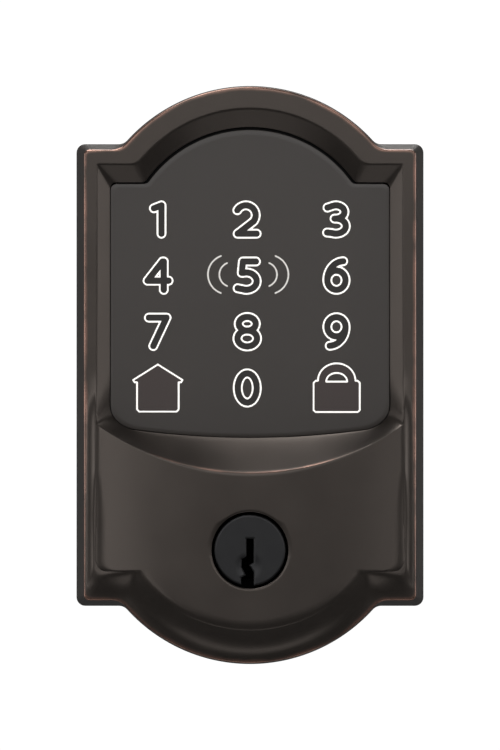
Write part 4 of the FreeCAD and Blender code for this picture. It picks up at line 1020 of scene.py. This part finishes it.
# %% [markdown]
# ### Working parts
#
# Every other part keeps its CAD shape and gets the finish of its material slot. Two recipes cover
# most of them: a metal, whose grain may run one way, and a moulding with a fine spark texture.
# The circuit board and the battery sleeves have recipes of their own.

# %% Finishes of the working parts


def metal(name, base, rough, grain=(0.6, 0.6, 0.6), depth=0.25, bump=0.004):
    """Cut or drawn metal: fine grain, which may run one way, over a faint tarnish."""
    finish = Finish(name, metallic=1.0)
    lines = finish.noise(3.0, 4, finish.stretched(grain))
    tarnish = finish.noise(0.16, 4)
    shade = finish.mix(tarnish, tuple((1 - depth) * part for part in base), base)
    return finish.look(shade, rough - 0.06 + 0.14 * lines + 0.06 * tarnish, lines, bump)


def moulding(name, base, rough, texture=1.6, bump=0.02, depth=0.12):
    """Moulded plastic or rubber: fine spark texture and a slightly uneven tone."""
    finish = Finish(name)
    spark = finish.noise(texture, 4)
    tone = finish.noise(0.1, 2)
    darker, lighter = (tuple((1 + change) * part for part in base) for change in (-depth, depth))
    shade = finish.mix(tone, darker, lighter)
    return finish.look(shade, rough - 0.05 + 0.1 * spark, spark, bump)


def board_green():
    """Circuit board: green resist over copper tracks that show as a slightly raised, lighter grid."""
    finish = Finish("circuit board", coat=0.3)
    sockets = {"Vector": finish.stretched((1, 0, 1)), "Scale": 0.35, "Mortar Size": 0.03}
    sockets |= {"Color1": (0, 0, 0, 1), "Color2": (1, 1, 1, 1), "Mortar": (1, 1, 1, 1)}
    cells = finish.add("ShaderNodeTexBrick", {"offset": 0.5}, sockets, "Fac")
    weave = finish.noise(1.2, 3)
    shade = finish.mix(cells, (0.010, 0.085, 0.035), (0.03, 0.17, 0.07))
    return finish.look(shade, 0.32 + 0.12 * weave, cells + 0.3 * weave, 0.02)


def battery_sleeve():
    """Printed cell sleeve: a dark body with a copper-coloured end, split at a height."""
    finish = Finish("battery sleeve", coat=0.4)
    parts = finish.add("ShaderNodeSeparateXYZ", None, {0: finish.place}, "Z")
    split = finish.ramp(parts, 66.0, 66.3)
    scuff = finish.noise(1.0, 4)
    shade = finish.mix(split, (0.018, 0.018, 0.02), (0.5, 0.25, 0.11))
    finish.feed(finish.shader.inputs["Metallic"], 0.2 + 0.6 * split)
    return finish.look(shade, 0.28 + 0.14 * scuff, scuff, 0.004)


DARK_CASE = (0.040, 0.034, 0.030)
SLOTS = {
    "bronze_casting": aged_bronze("bronze node", BRONZE, COPPER, 0.36, worn_and_shaded=False),
    "lens_plastic": window_plastic(),
    "seal_tape": moulding("seal tape", (0.012, 0.012, 0.012), 0.75, 3.0),
    "clear_guide": moulding("milky guide", (0.72, 0.75, 0.78), 0.3, 0.4, 0.01, 0.05),
    "circuit_board": board_green(),
    "white_led": moulding("led lens", (0.85, 0.82, 0.6), 0.25, 2.0, 0.01),
    "copper_coil": metal("coil copper", (0.72, 0.31, 0.15), 0.32, (0.3, 1, 3)),
    "chip_black": moulding("chip black", (0.02, 0.02, 0.022), 0.55, 4.0),
    "connector_white": moulding("connector cream", (0.7, 0.66, 0.56), 0.45),
    "black_moulding": moulding("black moulding", (0.017, 0.017, 0.018), 0.5, 1.2, 0.03),
    "button_grey": moulding("button grey", (0.25, 0.25, 0.26), 0.45),
    "zinc_steel": metal("zinc plate", (0.56, 0.55, 0.50), 0.34, (0.25, 1, 2.5), 0.3),
    "screw_steel": metal("screw steel", (0.42, 0.42, 0.43), 0.28, (1, 0.3, 1), 0.3),
    "gasket_foam": moulding("gasket foam", (0.022, 0.022, 0.022), 0.9, 0.9, 0.12, 0.3),
    "cylinder_brass": brass_blackened_and_shaded(),
    "plug_black": aged_bronze("plug black", (0.030, 0.029, 0.030), COPPER, 0.34, worn_and_shaded=False),
    "spring_steel": metal("spring steel", (0.6, 0.6, 0.6), 0.24, (1, 1, 1), 0.2),
    "drive_steel": metal("drive steel", (0.46, 0.46, 0.46), 0.36, (2, 0.2, 2), 0.35),
    "case_bronze": moulding("case bronze", DARK_CASE, 0.42, 1.4, 0.03),
    "turn_bronze": aged_bronze("turn bronze", (0.06, 0.051, 0.045), COPPER, 0.34, worn_and_shaded=False),
    "gear_nylon": moulding("gear nylon", (0.72, 0.70, 0.64), 0.4, 0.6, 0.01),
    "gear_brass": metal("gear brass", (0.72, 0.52, 0.22), 0.26, (1, 0.25, 1), 0.25),
    "motor_metal": metal("motor can", (0.50, 0.50, 0.52), 0.3, (0.3, 2, 0.3), 0.2),
    "cell_sleeve": battery_sleeve(),
}
for subpart in frame["record"]["subparts"]:
    paint(frame["nodes"][subpart["node"]], SLOTS[subpart["material_slot"]])
print("finishes", len(SLOTS))

# %% [markdown]
# ## The stage
#
# A pale floor lies well below, so that it never hides the lock's own edges. It is left out of
# reflections, so that the casting's lower slopes stay dark.

# %% Floor
FLOOR_DROP = 300 * MM


def floor():
    """Square pale sheet, seen by the camera but not in reflections."""
    half = 1.6
    corners = np.array([[-half, -half], [half, -half], [half, half], [-half, half]])
    points = np.column_stack([corners, np.full(4, casting_low[2] * MM - FLOOR_DROP)])
    mesh = bpy.data.meshes.new("floor")
    mesh.from_pydata(points.tolist(), [], [(0, 1, 2, 3)])
    made = bpy.data.objects.new("floor", mesh)
    scene.collection.objects.link(made)
    finish = Finish("pale floor")
    paint(made, finish.look(finish.mix(finish.noise(0.01), (0.86, 0.86, 0.86), (0.9, 0.9, 0.9)), 0.7))
    made.visible_glossy = False


floor()
